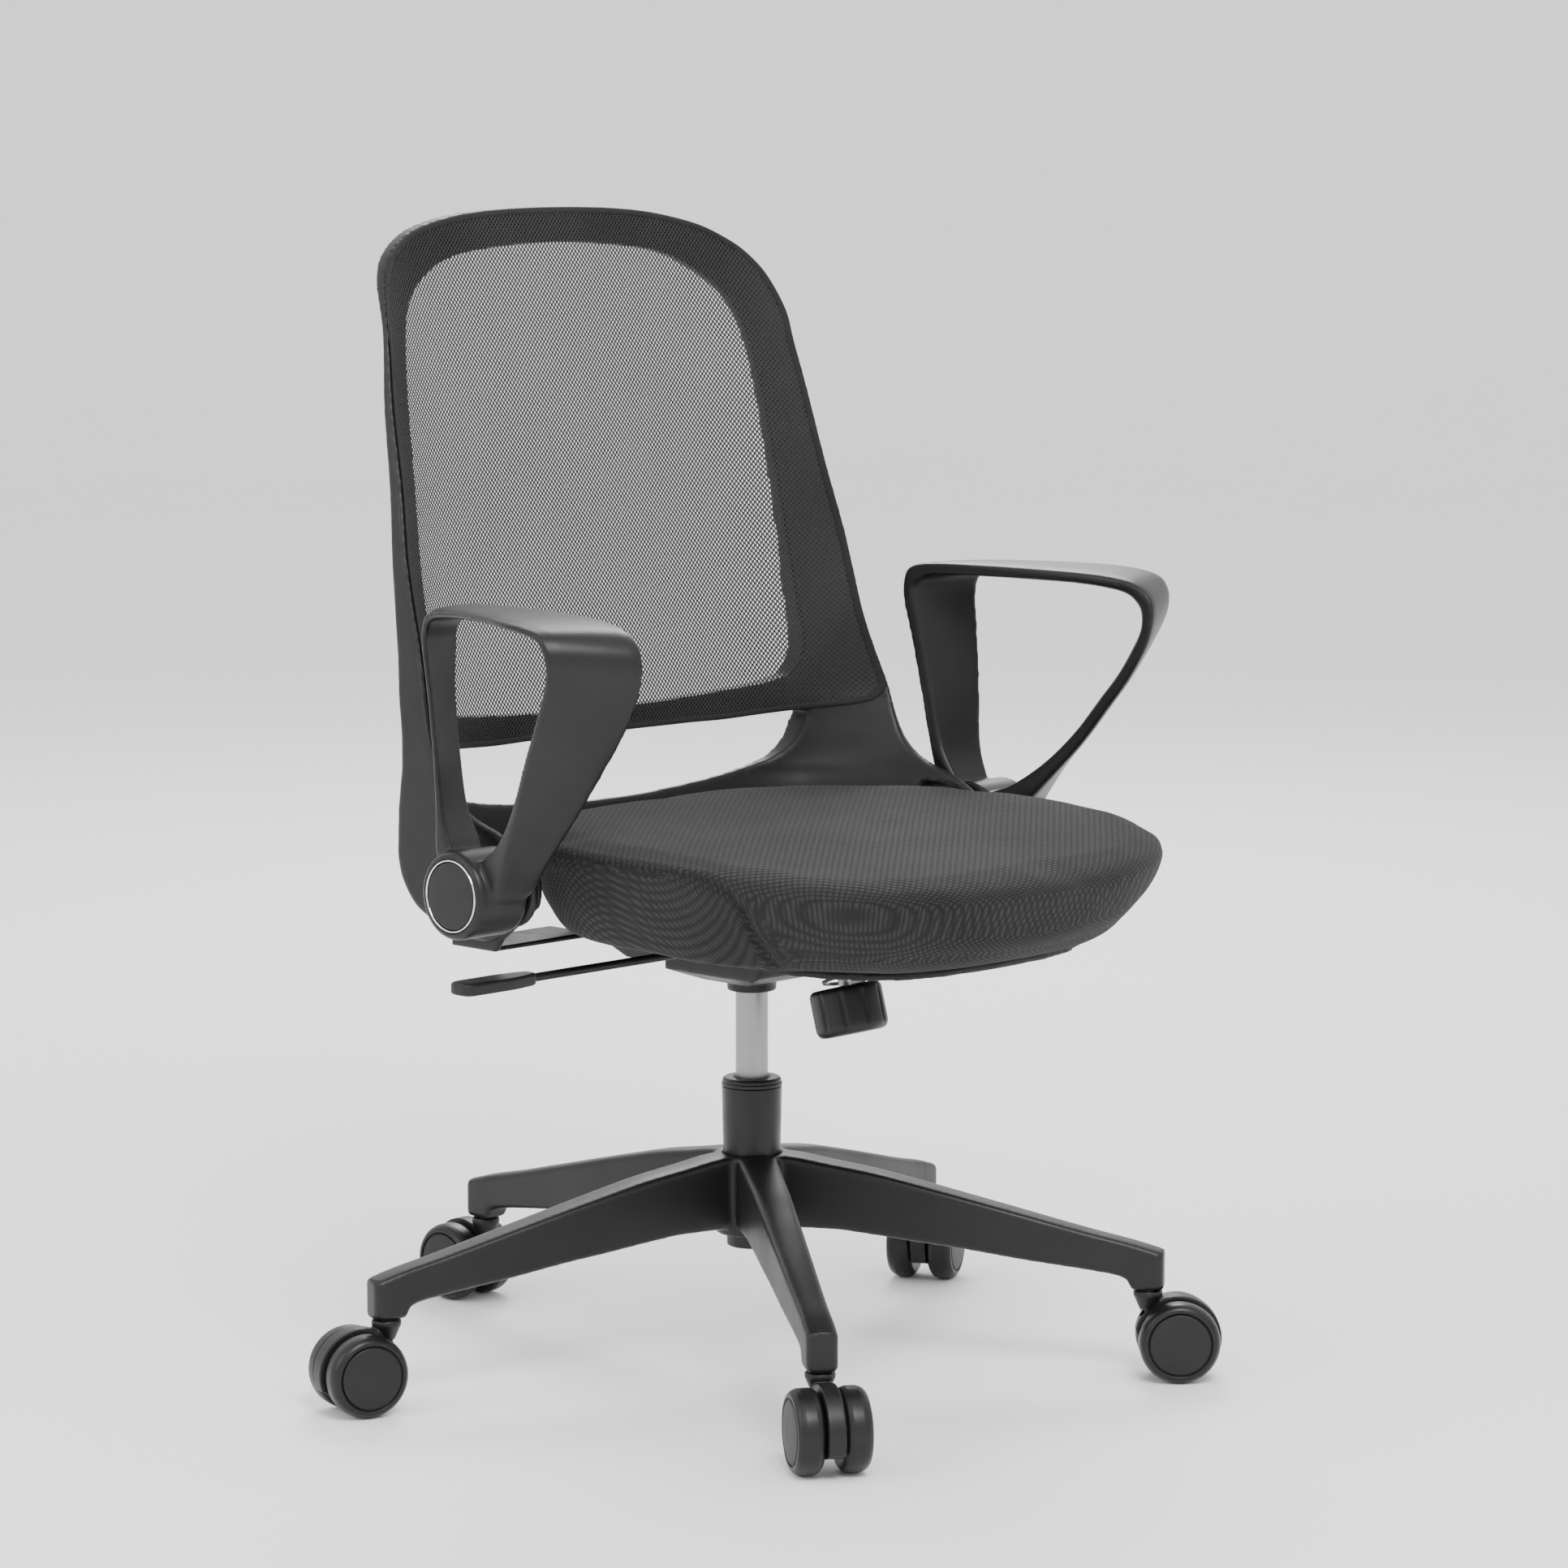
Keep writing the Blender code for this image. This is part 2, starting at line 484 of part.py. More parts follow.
def build_knob():
    top_z = PLATE_LOW + PLATE_T
    head = (top_z - KNOB_FOOT.z) / KNOB_UP.z + 0.0020
    bolt = [(0.0, 0.0060), (BOLT_R - 0.0006, 0.0060), (BOLT_R, 0.0066), (BOLT_R, head), (0.0055, head),
            (0.0055, head + 0.0018), (0.0, head + 0.0018)]
    smooth(add_object("tension_bolt", *revolve(bolt, 20, point=KNOB_FOOT, axis=KNOB_UP), "steel_satin",
                      origin=KNOB_FOOT))
    k = KNOB_LENGTH
    profile = [(0.0, 0.0), (KNOB_R - 0.0050, 0.0), (KNOB_R - 0.0015, 0.0020), (KNOB_R, 0.0055), (KNOB_R, k - 0.0040),
               (KNOB_R - 0.0015, k - 0.0010), (KNOB_R - 0.0035, k), (0.0205, k), (0.0205, 0.0140),
               (BOLT_R + FIT, 0.0140), (BOLT_R + FIT, 0.0055), (0.0, 0.0055)]
    knob = add_object("tension_knob", *revolve(profile, 32, point=KNOB_FOOT, axis=KNOB_UP), "nylon_black",
                      origin=KNOB_FOOT)
    m = frame_on(KNOB_FOOT, KNOB_UP)
    for i in range(10):
        a = 2 * math.pi * (i + 0.5) / 10
        centre = m @ Vector((KNOB_R * math.cos(a) * 1.03, KNOB_R * math.sin(a) * 1.03, 0.0))
        groove = [(0.0, 0.0055), (0.0018, 0.0075), (0.0018, k - 0.0075), (0.0, k - 0.0055)]
        combine(knob, revolve(groove, 6, point=centre, axis=KNOB_UP), "DIFFERENCE")
    smooth(knob)
    low = 0.0143
    high = (TONGUE_LOW - 0.0008 - KNOB_FOOT.z) / KNOB_UP.z - 0.0050
    turns = 4.5
    wire = 0.0014
    steps = 54
    rings = []
    for i in range(steps + 1):
        t = i / steps
        a = 2 * math.pi * turns * t
        pitch = (high - low - 2 * wire) * t
        c = Vector((0.0155 * math.cos(a), 0.0155 * math.sin(a), low + wire + pitch))
        out = Vector((math.cos(a), math.sin(a), 0.0))
        rings.append([m @ (c + out * (wire * math.cos(b)) + Vector((0, 0, wire * math.sin(b))))
                      for b in (2 * math.pi * q / 5 for q in range(5))])
    smooth(add_object("tension_spring", *loft(rings), "steel_satin", origin=KNOB_FOOT), 60)


# ---------------------------------------------------------------- seat
PAN_T = 0.0062
CUSHION_LOW = 0.3600
SEAT_Y0 = (SEAT_REAR - SEAT_FRONT) / 2
SEAT_HALF_DEPTH = (SEAT_REAR + SEAT_FRONT) / 2
SEAT_POWER_FRONT = 2.79
SEAT_POWER_REAR = 2.2


def seat_droop(y):
    t = max(0.0, (-y - 0.100) / 0.1904)
    return 0.0178 * t ** 1.6


def side_fullness(y):
    """How upright the side panels are: rounded under at the front, almost straight further back."""
    t = min(max((y + 0.235) / 0.065, 0.0), 1.0)
    return 0.58 * t * t * (3.0 - 2.0 * t)


def seat_ring(scale, z, count=40, upright=False):
    """Plan outline of the seat at one level, lowered along the front edge."""
    ring = []
    for k in range(count):
        a = 2 * math.pi * k / count
        c, s = math.cos(a), math.sin(a)
        n = SEAT_POWER_FRONT if s < 0 else SEAT_POWER_REAR
        y = SEAT_Y0 + SEAT_HALF_DEPTH * scale * math.copysign(abs(s) ** (2 / n), s)
        wide = scale + (side_fullness(y) * (1.0 - scale) if upright else 0.0)
        x = SEAT_HALF_WIDTH * wide * math.copysign(abs(c) ** (2 / n), c)
        ring.append((x, y, z - seat_droop(y)))
    return ring


def build_seat():
    low = CUSHION_LOW - SEAT_MID_Z
    crown = SEAT_CROWN
    rows = ((0.10, low), (0.40, low), (0.740, low), (0.763, low), (0.812, low * 0.92), (0.857, low * 0.80), (0.9425, low * 0.50),
            (0.985, low * 0.20), (1.0, 0.0), (0.990, crown * 0.35), (0.970, crown * 0.62), (0.900, crown * 0.82),
            (0.72, crown * 0.94), (0.40, crown), (0.10, crown))
    rings = [seat_ring(s, SEAT_MID_Z + h, upright=0.7 < s and h < 0.0) for s, h in rows]
    smooth(add_object("seat_cushion", *loft(rings), "seat_fabric"), 60)
    top = CUSHION_LOW - FIT
    rows = ((0.10, top - PAN_T), (0.40, top - PAN_T), (0.740, top - PAN_T), (0.740, top), (0.40, top), (0.10, top))
    pan = add_object("seat_pan", *loft([seat_ring(scale, z, 32) for scale, z in rows]), "pan_board")
    combine(pan, box(-0.086, 0.086, -0.1500, -0.0900, 0.33, top - PAN_T), "DIFFERENCE")
    hole = [(0.0, 0.33), (0.0110, 0.33), (0.0110, 0.38), (0.0, 0.38)]
    p = along_knob(0.3550)
    combine(pan, revolve(hole, 20, point=(0, p.y, 0)), "DIFFERENCE")
    smooth(pan)


def build_brackets():
    """Side brackets that carry the back and the arms from under the seat."""
    low = PLATE_LOW + 0.0025
    high = CUSHION_LOW - FIT - PAN_T - FIT
    face = BACK_HALF_WIDTH - FIN_T - FIT
    for name, sx in (("right", -1), ("left", 1)):
        x0, x1 = sorted((sx * (face - BRACKET_T), sx * face))
        side = [(0.028, low), (0.075, low), (0.075, low + 0.008), (HUB_Y + 0.0255, HUB_Z - 0.012)]
        side += arc(HUB_Y, HUB_Z, 0.0280, -25, 205, 12)
        side += [(HUB_Y - 0.0255, HUB_Z - 0.012), (0.020, low + 0.010)]
        ob = add_object("seat_bracket_" + name, *prism(side, "x", x0, x1), "steel_black")
        x0, x1 = sorted((sx * 0.140, sx * (face - 0.0005)))
        combine(ob, box(x0, x1, 0.0282, 0.0748, low, high), "UNION")
        hole = [(0.0, -0.02), (PIVOT_R + FIT, -0.02), (PIVOT_R + FIT, 0.02), (0.0, 0.02)]
        combine(ob, revolve(hole, 20, point=(sx * face, HUB_Y, HUB_Z), axis=(1, 0, 0)), "DIFFERENCE")
        smooth(ob)


# ---------------------------------------------------------------- back
FIN_T = 0.0075               # side wall of the shell beside the seat
BRACKET_T = 0.0050
PIVOT_R = 0.0050
BAND_Z = 0.4985               # lower corners of the mesh
BACK_X = (0.0, 0.2, 0.4, 0.55, 0.68, 0.78, 0.86, 0.92, 0.965, 1.0)
# height: half-width, front edge y, rear edge y, centre y, front power, rear power, centre thickness
BACK_ROWS = (
    (0.3575, 1.0000, 0.0300, 0.0530, 0.0810, 8.0, 7.0, 0.006),
    (0.3630, 1.0000, 0.0160, 0.0745, 0.1000, 8.0, 7.0, 0.006),
    (0.3685, 1.0000, 0.0060, 0.0895, 0.1170, 8.0, 7.0, 0.006),
    (0.3761, 1.0000, -0.0120, 0.1045, 0.1320, 8.0, 7.0, 0.006),
    (0.3889, 1.0000, -0.0212, 0.1160, 0.1490, 8.0, 7.0, 0.006),
    (0.4000, 1.0000, -0.0230, 0.1220, 0.1545, 8.0, 7.0, 0.006),
    (0.4151, 1.0000, -0.0188, 0.1250, 0.1560, 8.0, 7.0, 0.006),
    (0.4270, 1.0000, -0.0060, 0.1245, 0.1565, 8.0, 7.0, 0.006),
    (0.4335, 1.0000, 0.0060, 0.1245, 0.1570, 8.0, 6.5, 0.006),
    (0.4399, 1.0000, 0.0213, 0.1240, 0.1572, 7.6, 6.5, 0.006),
    (0.4449, 1.0000, 0.0390, 0.1240, 0.1573, 7.2, 6.4, 0.006),
    (0.4532, 1.0000, 0.0568, 0.1230, 0.1574, 6.6, 6.2, 0.006),
    (0.4652, 1.0000, 0.0702, 0.1215, 0.1574, 6.0, 6.0, 0.007),
    (0.4809, 1.0000, 0.0792, 0.1195, 0.1574, 5.4, 5.6, 0.008),
    (0.4985, 1.0000, 0.0862, 0.1195, 0.1575, 4.8, 5.2, 0.011),
    (0.5317, 0.9818, 0.0986, 0.1275, 0.1625, 4.6, 5.0, 0.012),
    (0.5617, 0.9657, 0.1085, 0.1330, 0.1680, 4.6, 4.8, 0.012),
    (0.6217, 0.9550, 0.1251, 0.1407, 0.1765, 4.6, 4.6, 0.012),
    (0.6817, 0.9230, 0.1407, 0.1522, 0.1850, 4.6, 4.6, 0.012),
    (0.7417, 0.9000, 0.1565, 0.1643, 0.1925, 4.6, 4.6, 0.012),
    (0.8017, 0.8680, 0.1713, 0.1755, 0.2030, 4.8, 4.8, 0.012),
    (0.8500, 0.8600, 0.1850, 0.1945, 0.2110, 5.0, 5.0, 0.012),
    (0.9000, 0.8560, 0.1950, 0.2060, 0.2180, 5.0, 5.0, 0.012),
)
OUTLINE = ((0.0, 0.8884), (0.0320, 0.8880), (0.0670, 0.8866), (0.1014, 0.8834), (0.1347, 0.8772), (0.1574, 0.8704),
           (0.1777, 0.8599), (0.1896, 0.8507), (0.2001, 0.8377), (0.2064, 0.8234), (0.2107, 0.8085),
           (0.2160, 0.7850), (0.30, 0.7650))
MESH_EDGE = ((0.30, 0.4990), (0.2508, 0.4980), (0.2371, 0.4926), (0.2237, 0.4886), (0.1994, 0.4855),
             (0.1314, 0.4808), (0.0818, 0.4811), (0.0, 0.4812))
WINDOW = ((0.0, 0.8608), (0.0350, 0.8595), (0.0630, 0.8576), (0.0977, 0.8539), (0.1224, 0.8477), (0.1376, 0.8404),
          (0.1521, 0.8318), (0.1667, 0.8187), (0.1759, 0.8025), (0.1824, 0.7797), (0.1879, 0.7408),
          (0.1918, 0.6889), (0.1954, 0.6305), (0.1977, 0.5655), (0.1991, 0.5461), (0.1975, 0.5332),
          (0.1930, 0.5216), (0.1862, 0.5140), (0.1761, 0.5106), (0.1619, 0.5074), (0.1311, 0.5048),
          (0.0884, 0.5021), (0.0380, 0.5010), (0.0, 0.5006))
GAP = ((0.0, 0.4289), (0.0303, 0.4291), (0.0881, 0.4327), (0.1325, 0.4373), (0.1703, 0.4458), (0.1853, 0.4563),
       (0.1910, 0.4647), (0.1953, 0.4758), (0.1977, 0.4822), (0.1940, 0.4850), (0.1314, 0.4808), (0.0, 0.4812))


def mirrored(half):
    """Closed outline from its right half, running top to bottom on the centre line."""
    left = [(-x, z) for x, z in half if x > 1e-9]
    return list(half) + left[::-1]


def scaled_outline(half):
    kx = BACK_HALF_WIDTH / 0.2475
    kz = (BACK_TOP - BAND_Z) / (0.8884 - BAND_Z)
    return [(x * kx, BAND_Z + (z - BAND_Z) * (kz if z > BAND_Z else 1.0)) for x, z in half]


def back_rows():
    kz = (BACK_TOP - BAND_Z) / (0.8884 - BAND_Z)
    for row in BACK_ROWS:
        z = row[0]
        yield (BAND_Z + (z - BAND_Z) * (kz if z > BAND_Z else 1.0),) + row[1:]


def front_point(u, wf, ye, yc, power):
    return wf * u, ye + (yc - ye) * (1.0 - abs(u) ** power)


def front_half_width(z, wg):
    """Half-width of the front surface: inside the fins low down, almost the full width higher up."""
    blend = min(max((z - 0.4652) / (BAND_Z - 0.4652), 0.0), 1.0)
    return wg - FIN_T * (1.0 - blend) - 0.0030 * blend


def back_ring(z, k, ye, yg, yc, pf, pg, tc):
    """One horizontal section of the rear shell."""
    wg = BACK_HALF_WIDTH * k
    wf = front_half_width(z, wg)
    us = [-u for u in BACK_X[:0:-1]] + list(BACK_X)
    ring = []
    for u in us:
        x, y = front_point(u, wf, ye, yc, pf)
        ring.append((x, y, z))
    ring.append((wg, ye + 0.0012, z))
    for u in us[::-1]:
        x, y = front_point(u, wg, yg, yc + tc, pg)
        ring.append((x, y, z))
    ring.append((-wg, ye + 0.0012, z))
    return ring


def build_back():
    rings = [back_ring(*row) for row in back_rows()]
    ob = add_object("back_frame", *loft(rings), "shell_black")
    outline = mirrored(scaled_outline(OUTLINE + ((0.30, 0.30),)))
    combine(ob, prism(outline, "y", -0.2, 0.4), "INTERSECT")
    combine(ob, prism(mirrored(scaled_outline(WINDOW)), "y", 0.05, 0.4), "DIFFERENCE")
    combine(ob, prism(mirrored(scaled_outline(GAP)), "y", 0.0, 0.4), "DIFFERENCE")
    inner = BACK_HALF_WIDTH - FIN_T
    combine(ob, box(-inner, inner, -0.2, 0.4, 0.30, 0.3960), "DIFFERENCE")
    combine(ob, box(-inner, inner, -0.2, HUB_Y + 0.0335, 0.30, HUB_Z + 0.0320), "DIFFERENCE")
    for sx in (-1, 1):
        hole = [(0.0, -0.02), (PIVOT_R + FIT, -0.02), (PIVOT_R + FIT, 0.02), (0.0, 0.02)]
        combine(ob, revolve(hole, 20, point=(sx * inner, HUB_Y, HUB_Z), axis=(1, 0, 0)), "DIFFERENCE")
    smooth(ob, 30)


def build_mesh():
    us = [-u for u in BACK_X[:0:-1]] + list(BACK_X)
    rings = []
    for z, k, ye, _, yc, pf, _, _ in back_rows():
        if z < 0.46:
            continue
        half = front_half_width(z, BACK_HALF_WIDTH * k)
        ring = []
        for side, gap in ((1, 0.0007), (-1, 0.0019)):
            for u in us[::side]:
                x, y = front_point(u, half, ye, yc, pf)
                ring.append((x, y - gap, z))
        rings.append(ring)
    ob = add_object("back_mesh", *loft(rings), "mesh_fabric")
    combine(ob, prism(mirrored(scaled_outline(OUTLINE + MESH_EDGE)), "y", -0.2, 0.4), "INTERSECT")
    smooth(ob, 50)


# ---------------------------------------------------------------- arms
HUB_X_IN = BACK_HALF_WIDTH + 0.0050
HUB_X_OUT = BACK_HALF_WIDTH + 0.0525
CAP_DISC_R = 0.0245
CAP_DEPTH = 0.0040
# stations round the loop: inner rim (x, outside y z, inside y z), outer rim (x, outside y z, inside y z)
ARM_STATIONS = (
    (0.2530, 0.0290, 0.4120, 0.0120, 0.4160, 0.2900, 0.0280, 0.4120, 0.0120, 0.4160),
    (0.2530, 0.0425, 0.4300, 0.0235, 0.4330, 0.2905, 0.0350, 0.4300, 0.0200, 0.4340),
    (0.2525, 0.0510, 0.4560, 0.0395, 0.4580, 0.2905, 0.0345, 0.4560, 0.0275, 0.4580),
    (0.2510, 0.0590, 0.4960, 0.0490, 0.4970, 0.2920, 0.0350, 0.4960, 0.0300, 0.4970),
    (0.2480, 0.0670, 0.5400, 0.0570, 0.5400, 0.2935, 0.0385, 0.5400, 0.0335, 0.5400),
    (0.2430, 0.0722, 0.5750, 0.0610, 0.5740, 0.2950, 0.0425, 0.5760, 0.0375, 0.5760),
    (0.2430, 0.0720, 0.5930, 0.0600, 0.5860, 0.2960, 0.0415, 0.5900, 0.0365, 0.5870),
    (0.2430, 0.0650, 0.6020, 0.0540, 0.5925, 0.2980, 0.0350, 0.6010, 0.0310, 0.5960),
    (0.2435, 0.0430, 0.6055, 0.0400, 0.5955, 0.3010, 0.0200, 0.6050, 0.0190, 0.6000),
    (0.2450, 0.0050, 0.6068, 0.0050, 0.5970, 0.3080, -0.0100, 0.6065, -0.0100, 0.6020),
    (0.2500, -0.0500, 0.6070, -0.0490, 0.5972, 0.3200, -0.0500, 0.6070, -0.0490, 0.6025),
    (0.2570, -0.1000, 0.6060, -0.0980, 0.5965, 0.3310, -0.0850, 0.6060, -0.0830, 0.6010),
    (0.2640, -0.1300, 0.6036, -0.1260, 0.5938, 0.3330, -0.1080, 0.6037, -0.1050, 0.5985),
    (0.2690, -0.1500, 0.5990, -0.1410, 0.5900, 0.3335, -0.1218, 0.6001, -0.1180, 0.5950),
    (0.2710, -0.1618, 0.5905, -0.1500, 0.5830, 0.3335, -0.1290, 0.5938, -0.1240, 0.5890),
    (0.2720, -0.1665, 0.5800, -0.1535, 0.5750, 0.3330, -0.1324, 0.5839, -0.1270, 0.5810),
    (0.2720, -0.1655, 0.5650, -0.1530, 0.5630, 0.3310, -0.1310, 0.5700, -0.1255, 0.5690),
    (0.2715, -0.1590, 0.5470, -0.1470, 0.5500, 0.3270, -0.1225, 0.5520, -0.1170, 0.5540),
    (0.2705, -0.1436, 0.5229, -0.1330, 0.5280, 0.3220, -0.1080, 0.5280, -0.1030, 0.5310),
    (0.2690, -0.1248, 0.4998, -0.1145, 0.5060, 0.3160, -0.0930, 0.5060, -0.0880, 0.5090),
    (0.2670, -0.1000, 0.4705, -0.0900, 0.4775, 0.3080, -0.0750, 0.4780, -0.0700, 0.4820),
    (0.2630, -0.0740, 0.4440, -0.0620, 0.4520, 0.3000, -0.0570, 0.4500, -0.0500, 0.4560),
    (0.2580, -0.0500, 0.4200, -0.0330, 0.4330, 0.2950, -0.0430, 0.4260, -0.0310, 0.4370),
    (0.2550, -0.0330, 0.4020, -0.0100, 0.4240, 0.2920, -0.0320, 0.4060, -0.0120, 0.4250),
    (0.2540, -0.0150, 0.3900, 0.0040, 0.4120, 0.2910, -0.0150, 0.3900, 0.0040, 0.4120),
)


def arm_section(sx, row):
    """Eight-sided section of the arm between its inner and outer rims."""
    xi, yo, zo, yn, zn, xo, yp, zp, yq, zq = row
    xi += BACK_HALF_WIDTH - 0.2475
    xo += BACK_HALF_WIDTH - 0.2475
    lift = ARM_TOP - 0.6070
    up = lift * min(max((zo - 0.45) / 0.13, 0.0), 1.0)
    a = Vector((sx * xi, yo, zo + up))
    b = Vector((sx * xi, yn, zn + up))
    c = Vector((sx * xo, yq, zq + up))
    d = Vector((sx * xo, yp, zp + up))
    crown = ((a - b) + (d - c)).normalized() * 0.0014
    return [a.lerp(b, 0.35), a.lerp(d, 0.06), a.lerp(d, 0.35) + crown, a.lerp(d, 0.65) + crown, d.lerp(a, 0.06),
            d.lerp(c, 0.35), c.lerp(d, 0.35), c.lerp(b, 0.06), b.lerp(c, 0.06), b.lerp(a, 0.35)]


def build_arms():
    for name, sx in (("right", -1), ("left", 1)):
        origin = (sx * HUB_X_OUT, HUB_Y, HUB_Z)
        rings = [arm_section(sx, row) for row in ARM_STATIONS]
        ob = add_object("arm_" + name, *loft(rings), "nylon_black", origin=origin)
        length = HUB_X_OUT - HUB_X_IN
        hub = [(0.0, -length), (HUB_R - 0.0020, -length), (HUB_R, -length + 0.0020), (HUB_R, -0.0040),
               (HUB_R - 0.0018, -0.0008), (HUB_R - 0.0040, 0.0), (0.0, 0.0)]
        combine(ob, revolve(hub, 32, point=origin, axis=(sx, 0, 0)), "UNION")
        recess = [(0.0, -CAP_DEPTH), (CAP_DISC_R + 0.0030, -CAP_DEPTH), (CAP_DISC_R + 0.0030, 0.01), (0.0, 0.01)]
        combine(ob, revolve(recess, 32, point=origin, axis=(sx, 0, 0)), "DIFFERENCE")
        bore = [(0.0, -0.06), (PIVOT_R + RUN, -0.06), (PIVOT_R + RUN, -0.0125), (0.0100, -0.0125), (0.0100, 0.01),
                (0.0, 0.01)]
        combine(ob, revolve(bore, 20, point=origin, axis=(sx, 0, 0)), "DIFFERENCE")
        smooth(ob, 32)
        floor = -CAP_DEPTH + FIT
        ring = [(CAP_DISC_R + 0.0004, floor), (CAP_DISC_R + 0.0026, floor), (CAP_DISC_R + 0.0026, 0.0003),
                (CAP_DISC_R + 0.0015, 0.0011), (CAP_DISC_R + 0.0004, 0.0003)]
        smooth(add_object("arm_ring_" + name, *revolve(ring, 32, point=origin, axis=(sx, 0, 0)), "chrome",
                          origin=origin), 50)
        disc = [(0.0, floor), (CAP_DISC_R, floor), (CAP_DISC_R, -0.0006), (CAP_DISC_R - 0.0008, 0.0),
                (0.0, 0.0006)]
        smooth(add_object("arm_cap_" + name, *revolve(disc, 32, point=origin, axis=(sx, 0, 0)), "shell_black",
                          origin=origin))
        inner = -(HUB_X_OUT - (BACK_HALF_WIDTH - FIN_T - FIT - 0.0050))
        bolt = [(0.0, inner), (PIVOT_R - 0.0004, inner), (PIVOT_R, inner + 0.0004), (PIVOT_R, -0.0122),
                (0.0090, -0.0122), (0.0090, -0.0072), (0.0, -0.0072)]
        smooth(add_object("pivot_bolt_" + name, *revolve(bolt, 20, point=origin, axis=(sx, 0, 0)), "steel_satin",
                          origin=origin))


# ---------------------------------------------------------------- casters
AXLE_R = 0.0030
WEB_HALF = WHEEL_OFFSET - WHEEL_WIDTH / 2 - 0.0006
BOSS_R = 0.0112
WHEEL_SIDES = 20             # one flat of the faceted tread lies on the floor


def wheel_profile():
    h = WHEEL_WIDTH / 2
    r = WHEEL_R / math.cos(math.pi / WHEEL_SIDES)
    return [(AXLE_R + RUN, -h), (r - 0.0045, -h), (r - 0.0010, -h + 0.0028), (r, -h + 0.0065), (r, h - 0.0065),
            (r - 0.0012, h - 0.0028), (r - 0.0050, h), (0.0, h + 0.0005), (0.0, h - 0.0040),
            (AXLE_R + RUN, h - 0.0040)]


def build_caster(tag, angle, trail_deg):
    stem = heading(angle) * STEM_CIRCLE_R
    d = Vector((math.cos(math.radians(trail_deg)), math.sin(math.radians(trail_deg)), 0.0))
    side = Vector((-d.y, d.x, 0.0))
    centre = stem + d * CASTER_TRAIL
    axle = Vector((centre.x, centre.y, FLOOR + WHEEL_R))
    pin_low = SOCKET_Z - 0.0115
    pin = [(0.0, pin_low), (STEM_R, pin_low), (STEM_R, STEM_TOP - 0.0024), (STEM_R - 0.0012, STEM_TOP),
           (0.0, STEM_TOP)]
    smooth(add_object("caster_stem_" + tag, *revolve(pin, 20, point=stem), "steel_satin", origin=stem))
    hood = WHEEL_R + 0.0022
    outline = arc(0.0, 0.0, hood, 168, -20, 10) + [(hood * 0.80, -0.0135), (0.0100, -0.0185), (-0.0080, -0.0185),
                                                   (-hood * 0.80, -0.0135)]
    rings = []
    for w in (-WEB_HALF, WEB_HALF):
        rings.append([axle + d * p + side * w + Vector((0.0, 0.0, q)) for p, q in outline])
    ob = add_object("caster_housing_" + tag, *loft(rings), "nylon_black", origin=stem)
    top = SOCKET_Z - 0.0006
    low = FLOOR + WHEEL_R
    boss = [(0.0, low + 0.0100), (WEB_HALF * 0.85, low + 0.0100), (WEB_HALF * 0.85, low + 0.0200), (BOSS_R, low + 0.0335),
            (BOSS_R, top - 0.0010), (BOSS_R - 0.0010, top), (0.0, top)]
    combine(ob, revolve(boss, 16, point=stem), "UNION")
    hole = [(0.0, pin_low - FIT), (STEM_R + FIT, pin_low - FIT), (STEM_R + FIT, top + 0.02), (0.0, top + 0.02)]
    combine(ob, revolve(hole, 20, point=stem), "DIFFERENCE")
    bore = [(0.0, -0.03), (AXLE_R + FIT, -0.03), (AXLE_R + FIT, 0.03), (0.0, 0.03)]
    combine(ob, revolve(bore, 12, point=axle, axis=side), "DIFFERENCE")
    smooth(ob)
    reach = WHEEL_OFFSET + WHEEL_WIDTH / 2 - 0.0045
    rod = [(0.0, -reach), (AXLE_R - 0.0004, -reach), (AXLE_R, -reach + 0.0004), (AXLE_R, reach - 0.0004),
           (AXLE_R - 0.0004, reach), (0.0, reach)]
    smooth(add_object("caster_axle_" + tag, *revolve(rod, 12, point=axle, axis=side), "steel_satin", origin=axle))
    for part, s in (("a", 1.0), ("b", -1.0)):
        p = axle + side * (s * WHEEL_OFFSET)
        smooth(add_object("wheel_" + part + "_" + tag, *revolve(wheel_profile(), WHEEL_SIDES, point=p,
                          axis=side * s, turn=0.5), "wheel_black", origin=p))


def main():
    clear_scene()
    build_base()
    build_column()
    build_housing()
    build_lever()
    build_tilt_parts()
    build_knob()
    build_seat()
    build_brackets()
    build_back()
    build_mesh()
    build_arms()
    for leg in LEGS:
        build_caster(*leg)
    for ob in bpy.data.objects:
        ob.location -= Vector((0.0, MIDDLE_Y, FLOOR))


main()
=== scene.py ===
"""Looks of the swivel office chair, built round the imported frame. Metres, +Z up, the sitter faces -Y."""
import json
import math

import bmesh
import bpy
import numpy as np
from mathutils import Matrix, Vector
from mathutils.bvhtree import BVHTree
from mathutils.kdtree import KDTree

